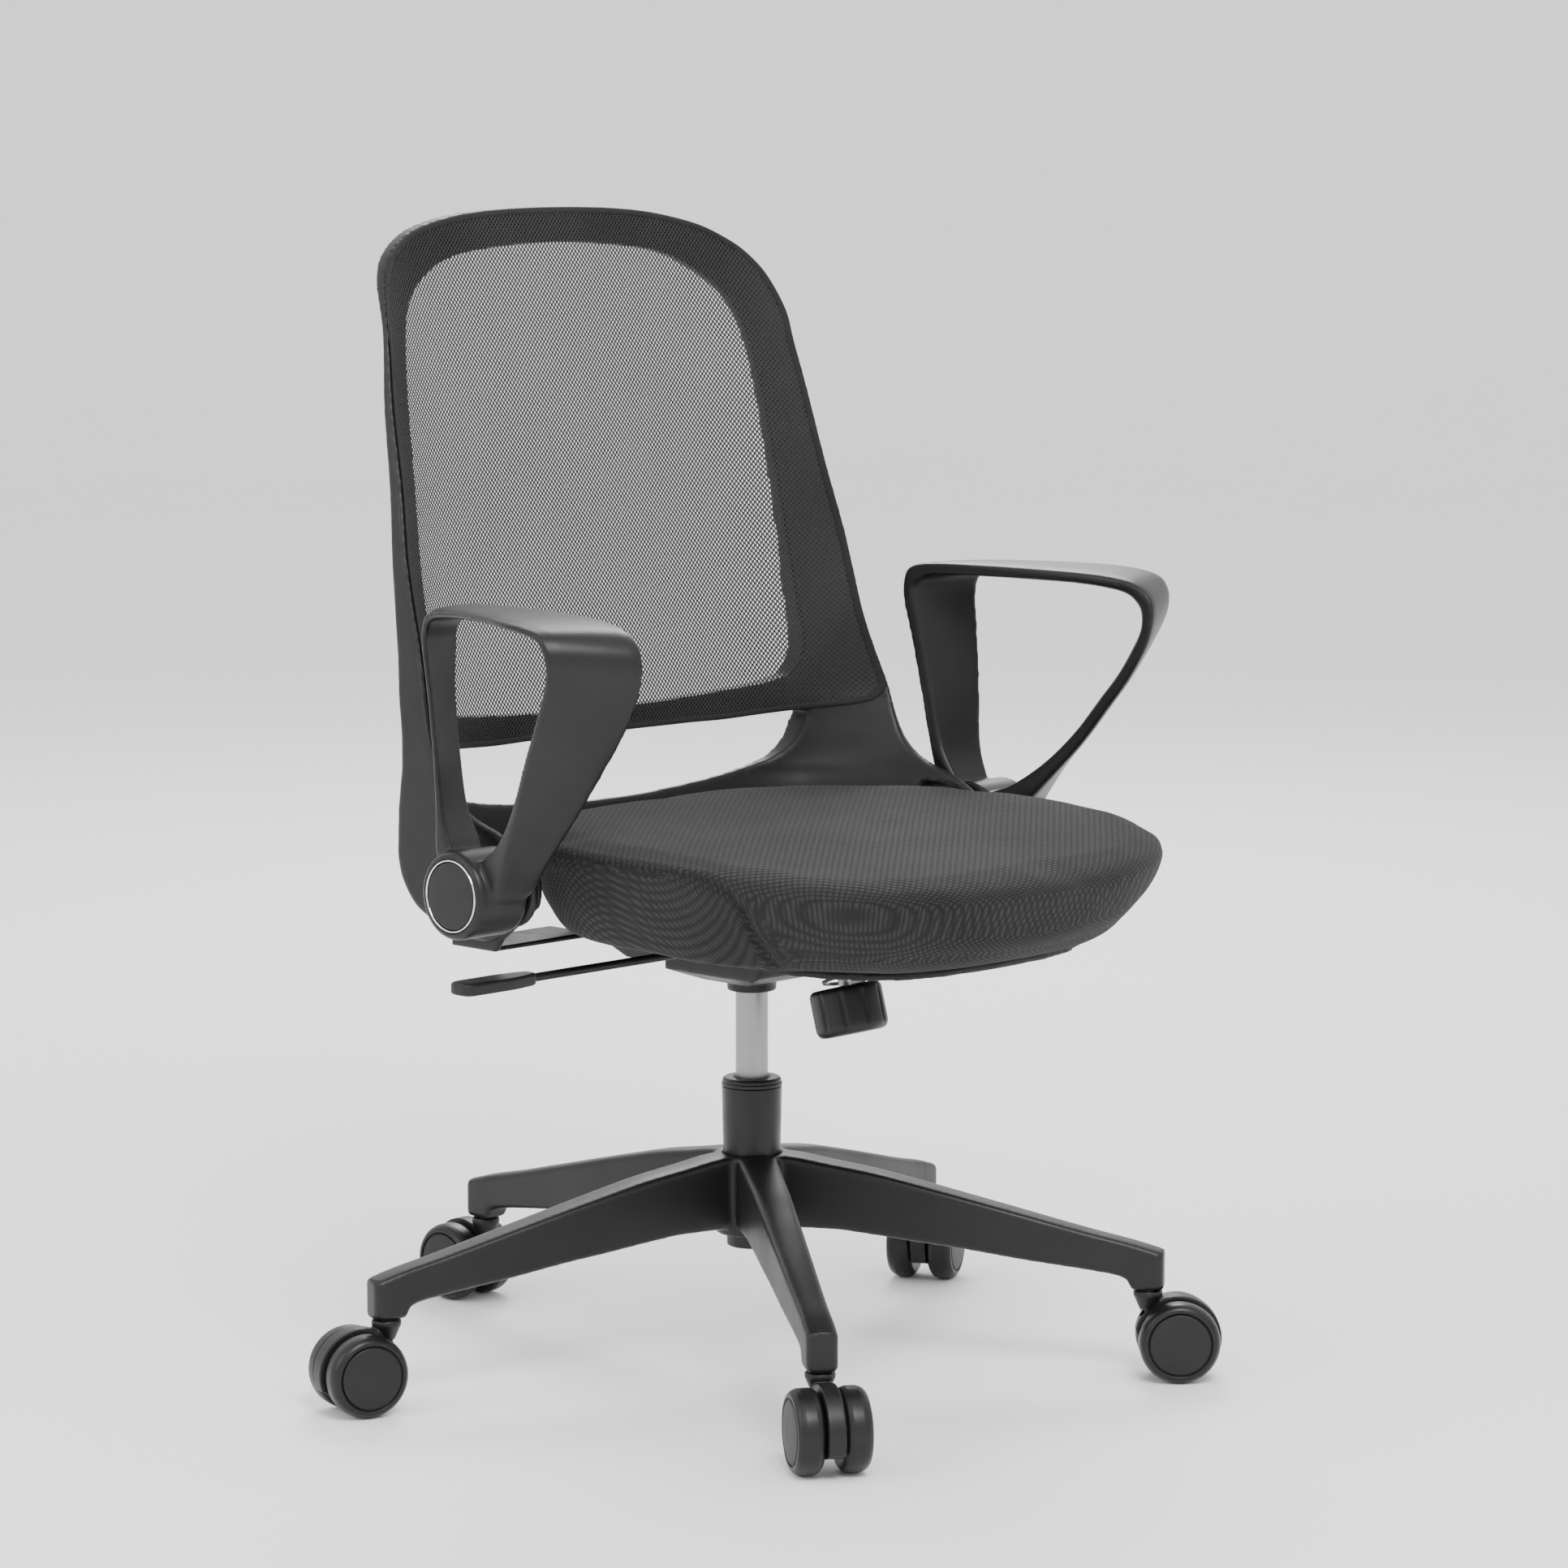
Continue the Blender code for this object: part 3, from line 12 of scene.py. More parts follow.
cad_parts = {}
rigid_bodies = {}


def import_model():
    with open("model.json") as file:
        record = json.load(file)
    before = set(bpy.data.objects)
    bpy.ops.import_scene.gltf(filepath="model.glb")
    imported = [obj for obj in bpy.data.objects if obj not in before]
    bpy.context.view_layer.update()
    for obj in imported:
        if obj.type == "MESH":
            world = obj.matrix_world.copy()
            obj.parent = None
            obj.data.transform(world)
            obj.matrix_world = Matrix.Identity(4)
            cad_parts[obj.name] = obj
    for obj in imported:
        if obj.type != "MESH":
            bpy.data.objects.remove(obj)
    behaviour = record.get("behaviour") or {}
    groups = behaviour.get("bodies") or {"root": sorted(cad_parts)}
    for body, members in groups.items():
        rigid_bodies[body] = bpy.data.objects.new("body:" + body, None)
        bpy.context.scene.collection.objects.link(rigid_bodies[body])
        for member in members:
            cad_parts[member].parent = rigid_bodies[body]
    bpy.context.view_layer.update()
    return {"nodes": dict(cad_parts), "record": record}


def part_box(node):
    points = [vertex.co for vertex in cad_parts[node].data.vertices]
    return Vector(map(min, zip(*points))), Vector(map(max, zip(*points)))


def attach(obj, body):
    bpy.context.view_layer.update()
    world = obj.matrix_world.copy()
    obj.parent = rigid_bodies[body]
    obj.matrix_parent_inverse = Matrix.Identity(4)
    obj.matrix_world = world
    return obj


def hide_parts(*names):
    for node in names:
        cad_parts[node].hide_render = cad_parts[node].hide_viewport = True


for ob in list(bpy.data.objects):
    bpy.data.objects.remove(ob, do_unlink=True)
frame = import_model()
NODES = frame["nodes"]
BODY_OF = {n: b for b, ns in frame["record"]["behaviour"]["bodies"].items() for n in ns}
SIDES = (("right", -1), ("left", 1))
DROP = 0.0042                # the shape tables' heights are measured from this far below the floor
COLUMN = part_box("gas_cylinder")
COLUMN_Y = (COLUMN[0].y + COLUMN[1].y) / 2      # the tables' y is measured from the column's axis
TABLE_PIECES = []            # pieces built from the tables, moved onto the column's axis at the end


# ---------------------------------------------------------------- shapes
def link(name, mesh, mat, angle=35.0):
    ob = bpy.data.objects.new(name, mesh)
    bpy.context.scene.collection.objects.link(ob)
    mesh.materials.clear()
    mesh.materials.append(mat)
    for poly in mesh.polygons:
        poly.use_smooth = True
        poly.material_index = 0
    if angle:
        mesh.set_sharp_from_angle(angle=math.radians(angle))
    return ob


def add(name, shape, mat, angle=35.0):
    mesh = bpy.data.meshes.new(name)
    mesh.from_pydata([tuple(v) for v in shape[0]], [], shape[1])
    bm = bmesh.new()
    bm.from_mesh(mesh)
    bmesh.ops.remove_doubles(bm, verts=bm.verts, dist=1e-7)
    bmesh.ops.recalc_face_normals(bm, faces=bm.faces)
    if bm.calc_volume(signed=True) < 0:
        bmesh.ops.reverse_faces(bm, faces=bm.faces)
    bm.to_mesh(mesh)
    bm.free()
    return link(name, mesh, mat, angle)


def loft(rings, closed=False):
    n = len(rings[0])
    verts = [tuple(p) for ring in rings for p in ring]
    faces = []
    count = len(rings)
    for i in range(count if closed else count - 1):
        a = i * n
        b = ((i + 1) % count) * n
        for j in range(n):
            k = (j + 1) % n
            faces.append((a + j, a + k, b + k, b + j))
    if not closed:
        faces.append(tuple(range(n))[::-1])
        faces.append(tuple(range((count - 1) * n, count * n)))
    return verts, faces


def frame_on(point, axis, start=(0.0, 0.0, 1.0)):
    z = Vector(axis).normalized()
    ref = Vector(start)
    if abs(z.dot(ref)) > 0.95:
        ref = Vector((1.0, 0.0, 0.0))
    x = ref.cross(z).normalized()
    y = z.cross(x)
    m = Matrix((x, y, z)).transposed().to_4x4()
    m.translation = Vector(point)
    return m


def revolve(profile, segments, point=(0, 0, 0), axis=(0, 0, 1), dent=None):
    """Turn a profile of (radius, height) rows; dent(r, h, angle) may change the radius on the way round."""
    m = frame_on(point, axis)
    verts, index, faces = [], [], []
    for r, h in profile:
        if r < 1e-9:
            index.append([len(verts)] * segments)
            verts.append(tuple(m @ Vector((0, 0, h))))
            continue
        index.append(list(range(len(verts), len(verts) + segments)))
        for k in range(segments):
            a = 2 * math.pi * k / segments
            rr = dent(r, h, a) if dent else r
            verts.append(tuple(m @ Vector((rr * math.cos(a), rr * math.sin(a), h))))
    count = len(profile)
    for i in range(count):
        a, b = index[i], index[(i + 1) % count]
        for k in range(segments):
            j = (k + 1) % segments
            face = []
            for v in (a[k], a[j], b[j], b[k]):
                if v not in face:
                    face.append(v)
            if len(face) > 2:
                faces.append(tuple(face))
    return verts, faces


def bar(r, low, high):
    """Lathe profile of a plain round bar."""
    return [(0.0, low), (r, low), (r, high), (0.0, high)]


def prism(outline, axis, low, high):
    def place(p, h):
        if axis == "x":
            return (h, p[0], p[1])
        if axis == "y":
            return (p[0], h, p[1])
        return (p[0], p[1], h)
    return loft([[place(p, low) for p in outline], [place(p, high) for p in outline]])


def arc(cx, cy, r, a0, a1, n):
    return [(cx + r * math.cos(math.radians(a0 + (a1 - a0) * k / n)),
        cy + r * math.sin(math.radians(a0 + (a1 - a0) * k / n))) for k in range(n + 1)]


def fillet(points, radius, n=3):
    """Round the corners of a closed outline, leaving those on the axis sharp."""
    out = []
    count = len(points)
    for i in range(count):
        p = Vector(points[i])
        a = Vector(points[i - 1]) - p
        b = Vector(points[(i + 1) % count]) - p
        if p.x < 1e-9 or a.length < 1e-9 or b.length < 1e-9:
            out.append(tuple(p))
            continue
        r = min(radius, a.length * 0.48, b.length * 0.48)
        p0, p1 = p + a.normalized() * r, p + b.normalized() * r
        for k in range(n + 1):
            t = k / n
            q = p0 * (1 - t) ** 2 + p * 2 * t * (1 - t) + p1 * t ** 2
            out.append((q.x, q.y))
    return out


def curve(table, x):
    """Smooth monotone look-up through (x, value) pairs; x may be an array."""
    xs = np.array([row[0] for row in table], float)
    ys = np.array([row[1] for row in table], float)
    d = np.diff(ys) / np.diff(xs)
    m = np.empty(len(xs))
    m[0], m[-1] = d[0], d[-1]
    for i in range(1, len(xs) - 1):
        m[i] = 0.0 if d[i - 1] * d[i] <= 0 else 2 * d[i - 1] * d[i] / (d[i - 1] + d[i])
    x = np.clip(np.asarray(x, float), xs[0], xs[-1])
    i = np.clip(np.searchsorted(xs, x) - 1, 0, len(xs) - 2)
    h = xs[i + 1] - xs[i]
    t = (x - xs[i]) / h
    return ((1 + 2 * t) * (1 - t) ** 2 * ys[i] + t * (1 - t) ** 2 * h * m[i]
            + t * t * (3 - 2 * t) * ys[i + 1] + t * t * (t - 1) * h * m[i + 1])


def dense(points, times):
    """Catmull-Rom points through an open list of number rows."""
    p = np.array(points, float)
    p = np.vstack([2 * p[0] - p[1], p, 2 * p[-1] - p[-2]])
    out = []
    for i in range(1, len(p) - 2):
        for k in range(times):
            t = k / times
            out.append(0.5 * (2 * p[i] + (p[i + 1] - p[i - 1]) * t
                              + (2 * p[i - 1] - 5 * p[i] + 4 * p[i + 1] - p[i + 2]) * t * t
                              + (3 * p[i] - p[i - 1] - 3 * p[i + 1] + p[i + 2]) * t ** 3))
    out.append(p[-2])
    return np.array(out)


def bake(ob):
    """Apply the object's modifiers."""
    bpy.context.view_layer.update()
    graph = bpy.context.evaluated_depsgraph_get()
    mesh = bpy.data.meshes.new_from_object(ob.evaluated_get(graph), depsgraph=graph)
    ob.modifiers.clear()
    old = ob.data
    ob.data = mesh
    bpy.data.meshes.remove(old)
    return ob


def cut(ob, shape, operation="DIFFERENCE"):
    cutter = add("cutter", shape, ob.data.materials[0])
    mod = ob.modifiers.new("bool", "BOOLEAN")
    mod.operation = operation
    mod.solver = "EXACT"
    mod.object = cutter
    bake(ob)
    bpy.data.objects.remove(cutter, do_unlink=True)
    return ob


def melt(ob, voxel, passes, factor=0.5):
    """Rebuild a solid as an even skin and soften its edges, as moulding does."""
    mod = ob.modifiers.new("skin", "REMESH")
    mod.mode = "VOXEL"
    mod.voxel_size = voxel
    mod.adaptivity = 0.0
    mod = ob.modifiers.new("soft", "SMOOTH")
    mod.factor = factor
    mod.iterations = passes
    bake(ob)
    for poly in ob.data.polygons:
        poly.use_smooth = True
    return ob


def rows_of(mesh, what):
    """Every vertex's "co" or "normal" as rows of three."""
    out = np.empty(len(mesh.vertices) * 3)
    mesh.vertices.foreach_get(what, out)
    return out.reshape(-1, 3)


def extra(ob, node):
    """A further piece on a CAD node's body, in nothing's place."""
    TABLE_PIECES.append(ob)
    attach(ob, BODY_OF[node])


def stand_for(ob, node, *more, measured=False):
    """The piece takes the place of CAD nodes, on their body."""
    if not measured:
        TABLE_PIECES.append(ob)
    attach(ob, BODY_OF[node])
    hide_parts(node, *more)
    return ob


def softened(node, mat, voxel, passes):
    """A finer skin over a CAD node of the right shape."""
    ob = link("look_" + node, NODES[node].data.copy(), mat, None)
    melt(ob, voxel, passes)
    return stand_for(ob, node, measured=True)


SLOT_OF = {s["node"]: s["material_slot"] for s in frame["record"]["subparts"]}


# ---------------------------------------------------------------- materials
class Nodes:
    """A small helper that builds a material's nodes."""

    def __init__(self, name, base, rough, metallic=0.0):
        self.mat = bpy.data.materials.new(name)
        self.mat.use_nodes = True
        self.tree = self.mat.node_tree
        self.bsdf = self.tree.nodes["Principled BSDF"]
        self.bsdf.inputs["Base Color"].default_value = (*base, 1.0)
        self.bsdf.inputs["Roughness"].default_value = rough
        self.bsdf.inputs["Metallic"].default_value = metallic
        self.coords = self.tree.nodes.new("ShaderNodeTexCoord").outputs["Object"]
        self.height = None

    def new(self, kind, **values):
        node = self.tree.nodes.new("ShaderNode" + kind)
        for key, value in values.items():
            if key in node.inputs:
                node.inputs[key].default_value = value
            else:
                setattr(node, key, value)
        return node

    def join(self, a, b):
        self.tree.links.new(a, b)

    def noise(self, scale, detail=2.0, rough=0.5, vector=None):
        node = self.new("TexNoise")
        node.inputs["Scale"].default_value = scale
        node.inputs["Detail"].default_value = detail
        node.inputs["Roughness"].default_value = rough
        self.join(vector or self.coords, node.inputs["Vector"])
        return node.outputs["Fac"]

    def scaled(self, source, low, high, a=0.3, b=0.7):
        node = self.new("MapRange")
        for key, value in (("From Min", a), ("From Max", b), ("To Min", low), ("To Max", high)):
            node.inputs[key].default_value = value
        self.join(source, node.inputs["Value"])
        return node.outputs["Result"]

    def math(self, operation, a, b=None, c=None):
        node = self.new("Math", operation=operation)
        for i, value in enumerate((a, b, c)):
            if value is None:
                continue
            if isinstance(value, (int, float)):
                node.inputs[i].default_value = value
            else:
                self.join(value, node.inputs[i])
        return node.outputs[0]

    def tint(self, factor, dark, light):
        node = self.new("ValToRGB")
        node.color_ramp.elements[0].color = (*dark, 1.0)
        node.color_ramp.elements[1].color = (*light, 1.0)
        self.join(factor, node.inputs["Fac"])
        self.join(node.outputs["Color"], self.bsdf.inputs["Base Color"])

    def rough(self, factor):
        self.join(factor, self.bsdf.inputs["Roughness"])

    def bump(self, height, strength, distance):
        node = self.new("Bump")
        node.inputs["Strength"].default_value = strength
        node.inputs["Distance"].default_value = distance
        self.join(height, node.inputs["Height"])
        self.join(node.outputs["Normal"], self.bsdf.inputs["Normal"])


def shade(colour, k):
    return tuple(c * k for c in colour)


def moulded(name, base, rough, grain=1400.0, depth=0.00010, strength=0.35, wear=True):
    """Moulded plastic: spark-eroded grain, faint flow marks and handling polish on the edges."""
    m = Nodes(name, base, rough)
    fine = m.noise(grain, 3.0, 0.6)
    broad = m.noise(9.0, 3.0, 0.55)
    patchy = m.noise(38.0, 4.0, 0.6)
    both = m.math("ADD", m.math("MULTIPLY", broad, 0.6), m.math("MULTIPLY", patchy, 0.4))
    m.tint(m.scaled(both, 0.0, 1.0), shade(base, 0.82), shade(base, 1.22))
    gloss = m.scaled(both, rough + 0.07, rough - 0.05)
    if wear:
        edges = m.new("NewGeometry").outputs["Pointiness"]
        gloss = m.math("SUBTRACT", gloss, m.scaled(edges, 0.0, 0.10, 0.51, 0.56))
    m.rough(gloss)
    m.bsdf.inputs["Specular IOR Level"].default_value = 0.30
    m.bump(m.math("ADD", fine, m.math("MULTIPLY", m.noise(grain * 0.37, 2.0), 0.6)), strength, depth)
    return m.mat


def painted(name, base, rough, peel=700.0):
    """Powder coat with a little orange peel."""
    m = Nodes(name, base, rough, 0.0)
    patchy = m.noise(24.0, 4.0, 0.6)
    m.tint(m.scaled(patchy, 0.0, 1.0), shade(base, 0.85), shade(base, 1.2))
    m.rough(m.scaled(m.noise(60.0, 3.0), rough - 0.05, rough + 0.08))
    m.bsdf.inputs["Specular IOR Level"].default_value = 0.28
    m.bsdf.inputs["Coat Weight"].default_value = 0.08
    m.bsdf.inputs["Coat Roughness"].default_value = 0.25
    m.bump(m.noise(peel, 2.0), 0.25, 0.00015)
    return m.mat


def metal(name, base, rough, drawn=(1.0, 1.0, 1.0), streak=0.12, spread=0.06):
    """Drawn or ground metal: fine lines that run round or along the piece."""
    m = Nodes(name, base, rough, 1.0)
    stretch = m.new("Mapping")
    stretch.inputs["Scale"].default_value = drawn
    m.join(m.coords, stretch.inputs["Vector"])
    lines = m.noise(1.0, 3.0, 0.6, stretch.outputs["Vector"])
    smudge = m.noise(30.0, 3.0)
    m.tint(m.scaled(lines, 0.0, 1.0), shade(base, 1.0 - streak), base)
    m.rough(m.scaled(m.math("ADD", m.math("MULTIPLY", lines, 0.5), m.math("MULTIPLY", smudge, 0.5)),
        rough - spread * 0.5, rough + spread))
    m.bump(lines, 0.06, 0.00005)
    return m.mat


KNIT_WIDE, KNIT_DEEP = 0.0066, 0.0058


def seat_cloth(name):
    """Spacer knit: small raised lozenges in a fine diagonal lattice, read from the piece's own cloth map; its
    colour carries painted shade in the hollows and a painted highlight on the raised tops.
    """
    m = Nodes(name, (0.06, 0.06, 0.062), 0.85)
    cloth = m.new("Attribute")
    cloth.attribute_name = "cloth"
    wobble = m.new("VectorMath", operation="ADD")
    jitter = m.new("VectorMath", operation="SCALE")
    noise = m.new("TexNoise")
    noise.inputs["Scale"].default_value = 60.0
    m.join(m.coords, noise.inputs["Vector"])
    m.join(noise.outputs["Color"], jitter.inputs[0])
    jitter.inputs["Scale"].default_value = 0.0006
    m.join(cloth.outputs["Vector"], wobble.inputs[0])
    m.join(jitter.outputs[0], wobble.inputs[1])
    parts = m.new("SeparateXYZ")
    m.join(wobble.outputs[0], parts.inputs[0])
    u = m.math("MULTIPLY", parts.outputs["X"], 2 * math.pi / KNIT_WIDE)
    v = m.math("MULTIPLY", parts.outputs["Y"], 2 * math.pi / KNIT_DEEP)
    a = m.math("SINE", m.math("ADD", u, v))
    b = m.math("SINE", m.math("SUBTRACT", u, v))
    pits = m.math("MULTIPLY", m.math("ADD", a, 1.0), m.math("ADD", b, 1.0))
    pits = m.math("POWER", m.math("MULTIPLY", pits, 0.25), 0.7)
    thread = m.noise(2600.0, 2.0, 0.7)
    height = m.math("ADD", pits, m.math("MULTIPLY", thread, 0.30))
    broad = m.noise(7.0, 3.0, 0.6)
    cloudy = m.math("MULTIPLY", m.scaled(broad, 0.0, 1.0), 0.38)
    # colour follows the lattice height: painted shade in the low parts between the lozenges and a painted
    # highlight on their raised tops, with random cloudy tone mixed in
    painted_pit_shade = m.math("ADD", m.math("MULTIPLY", pits, 0.62), cloudy)
    m.tint(painted_pit_shade, (0.0060, 0.0060, 0.0063), (0.030, 0.030, 0.031))
    m.rough(m.scaled(pits, 0.92, 0.74, 0.0, 1.0))
    m.bsdf.inputs["Sheen Weight"].default_value = 0.05
    m.bsdf.inputs["Sheen Roughness"].default_value = 0.5
    m.bsdf.inputs["Specular IOR Level"].default_value = 0.15
    m.bump(height, 0.75, 0.0006)
    return m.mat


def yarn(name, base, rough, pitch):
    """Twisted synthetic yarn."""
    m = Nodes(name, base, rough)
    fine = m.noise(pitch, 3.0, 0.65)
    broad = m.noise(14.0, 3.0)
    m.tint(m.scaled(m.math("ADD", m.math("MULTIPLY", fine, 0.5), m.math("MULTIPLY", broad, 0.5)), 0.0, 1.0),
        shade(base, 0.65), shade(base, 1.5))
    m.rough(m.scaled(fine, rough - 0.08, rough + 0.08))
    m.bsdf.inputs["Sheen Weight"].default_value = 0.03
    m.bsdf.inputs["Specular IOR Level"].default_value = 0.25
    m.bump(fine, 0.5, 0.0002)
    return m.mat


MAT = {
    "nylon": moulded("nylon_black", (0.0085, 0.0085, 0.0088), 0.40),
    "shell": moulded("shell_black", (0.0095, 0.0095, 0.0098), 0.46, 1200.0),
    "arm": moulded("arm_black", (0.0075, 0.0075, 0.0078), 0.38, 1500.0),
    "wheel": moulded("wheel_black", (0.0080, 0.0080, 0.0083), 0.34, 1800.0, 0.00006, 0.25),
    "bush": moulded("bush_black", (0.0100, 0.0100, 0.0103), 0.42, 1500.0),
    "tube": painted("tube_black", (0.0080, 0.0080, 0.0083), 0.34, 500.0),
    "steel_black": painted("steel_black", (0.0060, 0.0060, 0.0062), 0.45),
    "steel": metal("steel_satin", (0.55, 0.55, 0.56), 0.34, (200.0, 200.0, 4000.0)),
    "piston": metal("piston_satin", (0.30, 0.30, 0.304), 0.40, (60.0, 60.0, 3200.0), 0.10, 0.05),
    "chrome": metal("ring_chrome", (0.82, 0.82, 0.83), 0.09, (40.0, 40.0, 40.0), 0.03, 0.03),
    "seat": seat_cloth("seat_fabric"),
    "mesh": yarn("mesh_fabric", (0.0190, 0.0190, 0.0194), 0.60, 3500.0),
    "hem": yarn("mesh_hem", (0.0100, 0.0100, 0.0103), 0.70, 2600.0),
    "thread": yarn("seam_thread", (0.0030, 0.0030, 0.0031), 0.60, 5000.0),
    "pan": moulded("pan_black", (0.0070, 0.0070, 0.0072), 0.62, 900.0, 0.00018, 0.5),
}
PLAIN = {"nylon_black": "nylon", "shell_black": "shell", "wheel_black": "wheel", "tube_black": "tube",
         "steel_black": "steel_black", "steel_satin": "steel", "chrome": "chrome", "seat_fabric": "seat",
         "mesh_fabric": "mesh", "pan_board": "pan", "bush_plastic": "bush"}
for name, node in NODES.items():
    node.data.materials.clear()
    node.data.materials.append(MAT[PLAIN[SLOT_OF[name]]])


# ---------------------------------------------------------------- measured shape tables, from the CAD source
STEM_CIRCLE_R = 0.305
WHEEL_R = 0.031
WHEEL_WIDTH = 0.0205
WHEEL_OFFSET = 0.0172
CASTER_TRAIL = 0.023
COLUMN_TOP = 0.2288
SEAT_HALF_WIDTH = 0.2375
SEAT_FRONT = 0.3104
SEAT_REAR = 0.13
SEAT_MID_Z = 0.4242
SEAT_CROWN = 0.0121
BACK_HALF_WIDTH = 0.2475
HUB_Y = 0.008
HUB_Z = 0.3995
HUB_R = 0.0325
FIT = 0.0003
LEGS = (
    ("front_right", -36.0, 237.5), ("front_left", 36.0, 315.0), ("side_left", 108.0, 29.0),
    ("rear", 180.0, 91.0), ("side_right", -108.0, 162.0),
)
SOCKET_Z = 0.0732
HUB_TOP_Z = 0.17
HUB_LOW_Z = 0.1076
STEM_R = 0.0055
STEM_TOP = 0.0985
TUBE_R_LOW = 0.0205
TUBE_R_HUB = 0.0221
LEG_TOP = (
    (0.0, 0.1715), (0.03, 0.1698), (0.06, 0.1646), (0.094, 0.1585), (0.128, 0.1505), (0.195, 0.1337),
    (0.2615, 0.1168), (0.295, 0.109), (0.315, 0.1032),
)
LEG_LOW = (
    (0.0, 0.114), (0.03, 0.114), (0.06, 0.1138), (0.094, 0.1103), (0.128, 0.1056), (0.162, 0.1014),
    (0.209, 0.0942), (0.265, 0.0868), (0.283, 0.0838), (0.2895, 0.081),
)
TUBE_LOW = 0.0975
TUBE_BORE_R = 0.015
CAP_R = 0.0233
CAP_T = 0.0067
PISTON_TUBE_R = 0.0124
CYL_LOW = 0.172
CYL_TOP = 0.3205
KNOB_R = 0.0275
KNOB_LEAN = math.radians(16.0)
KNOB_FOOT = Vector((0.0, -0.108, 0.2755))
KNOB_UP = Vector((0.0, math.sin(KNOB_LEAN), math.cos(KNOB_LEAN)))
KNOB_LENGTH = 0.036
CUSHION_LOW = 0.36
SEAT_Y0 = (SEAT_REAR - SEAT_FRONT) / 2
SEAT_HALF_DEPTH = (SEAT_REAR + SEAT_FRONT) / 2
SEAT_POWER_FRONT = 2.79
SEAT_POWER_REAR = 2.2
FIN_T = 0.0075
PIVOT_R = 0.005
BAND_Z = 0.4985
BACK_ROWS = (
    (0.3575, 1.0, 0.03, 0.053, 0.081, 8.0, 7.0, 0.006),
    (0.363, 1.0, 0.016, 0.0745, 0.1, 8.0, 7.0, 0.006),
    (0.3685, 1.0, 0.006, 0.0895, 0.117, 8.0, 7.0, 0.006),
    (0.3761, 1.0, -0.012, 0.1045, 0.132, 8.0, 7.0, 0.006),
    (0.3889, 1.0, -0.0212, 0.116, 0.149, 8.0, 7.0, 0.006),
    (0.4, 1.0, -0.023, 0.122, 0.1545, 8.0, 7.0, 0.006),
    (0.4151, 1.0, -0.0188, 0.125, 0.156, 8.0, 7.0, 0.006),
    (0.427, 1.0, -0.006, 0.1245, 0.1565, 8.0, 7.0, 0.006),
    (0.4335, 1.0, 0.006, 0.1245, 0.157, 8.0, 6.5, 0.006),
    (0.4399, 1.0, 0.0213, 0.124, 0.1572, 7.6, 6.5, 0.006),
    (0.4449, 1.0, 0.039, 0.124, 0.1573, 7.2, 6.4, 0.006),
    (0.4532, 1.0, 0.0568, 0.123, 0.1574, 6.6, 6.2, 0.006),
    (0.4652, 1.0, 0.0702, 0.1215, 0.1574, 6.0, 6.0, 0.007),
    (0.4809, 1.0, 0.0792, 0.1195, 0.1574, 5.4, 5.6, 0.008),
    (0.4985, 1.0, 0.0862, 0.1195, 0.1575, 4.8, 5.2, 0.011),
    (0.5317, 0.9818, 0.0986, 0.1275, 0.1625, 4.6, 5.0, 0.012),
    (0.5617, 0.9657, 0.1085, 0.133, 0.168, 4.6, 4.8, 0.012),
    (0.6217, 0.955, 0.1251, 0.1407, 0.1765, 4.6, 4.6, 0.012),
    (0.6817, 0.923, 0.1407, 0.1522, 0.185, 4.6, 4.6, 0.012),
    (0.7417, 0.9, 0.1565, 0.1643, 0.1925, 4.6, 4.6, 0.012),
    (0.8017, 0.868, 0.1713, 0.1755, 0.203, 4.8, 4.8, 0.012),
    (0.85, 0.86, 0.185, 0.1945, 0.211, 5.0, 5.0, 0.012),
    (0.9, 0.856, 0.195, 0.206, 0.218, 5.0, 5.0, 0.012),
)
OUTLINE = (
    (0.0, 0.8884), (0.032, 0.888), (0.067, 0.8866), (0.1014, 0.8834), (0.1347, 0.8772), (0.1574, 0.8704),
    (0.1777, 0.8599), (0.1896, 0.8507), (0.2001, 0.8377), (0.2064, 0.8234), (0.2107, 0.8085),
    (0.216, 0.785), (0.3, 0.765),
)
MESH_EDGE = (
    (0.3, 0.499), (0.2508, 0.498), (0.2371, 0.4926), (0.2237, 0.4886), (0.1994, 0.4855), (0.1314, 0.4808),
    (0.0818, 0.4811), (0.0, 0.4812),
)
WINDOW = (
    (0.0, 0.8608), (0.035, 0.8595), (0.063, 0.8576), (0.0977, 0.8539), (0.1224, 0.8477), (0.1376, 0.8404),
    (0.1521, 0.8318), (0.1667, 0.8187), (0.1759, 0.8025), (0.1824, 0.7797), (0.1879, 0.7408),
    (0.1918, 0.6889), (0.1954, 0.6305), (0.1977, 0.5655), (0.1991, 0.5461), (0.1975, 0.5332),
    (0.193, 0.5216), (0.1862, 0.514), (0.1761, 0.5106), (0.1619, 0.5074), (0.1311, 0.5048),
    (0.0884, 0.5021), (0.038, 0.501), (0.0, 0.5006),
)
GAP = (
    (0.0, 0.4289), (0.0303, 0.4291), (0.0881, 0.4327), (0.1325, 0.4373), (0.1703, 0.4458), (0.1853, 0.4563),
    (0.191, 0.4647), (0.1953, 0.4758), (0.1977, 0.4822), (0.194, 0.485), (0.1314, 0.4808), (0.0, 0.4812),
)
HUB_X_IN = BACK_HALF_WIDTH + 0.005
HUB_X_OUT = 0.3
CAP_DISC_R = 0.0245
CAP_DEPTH = 0.004
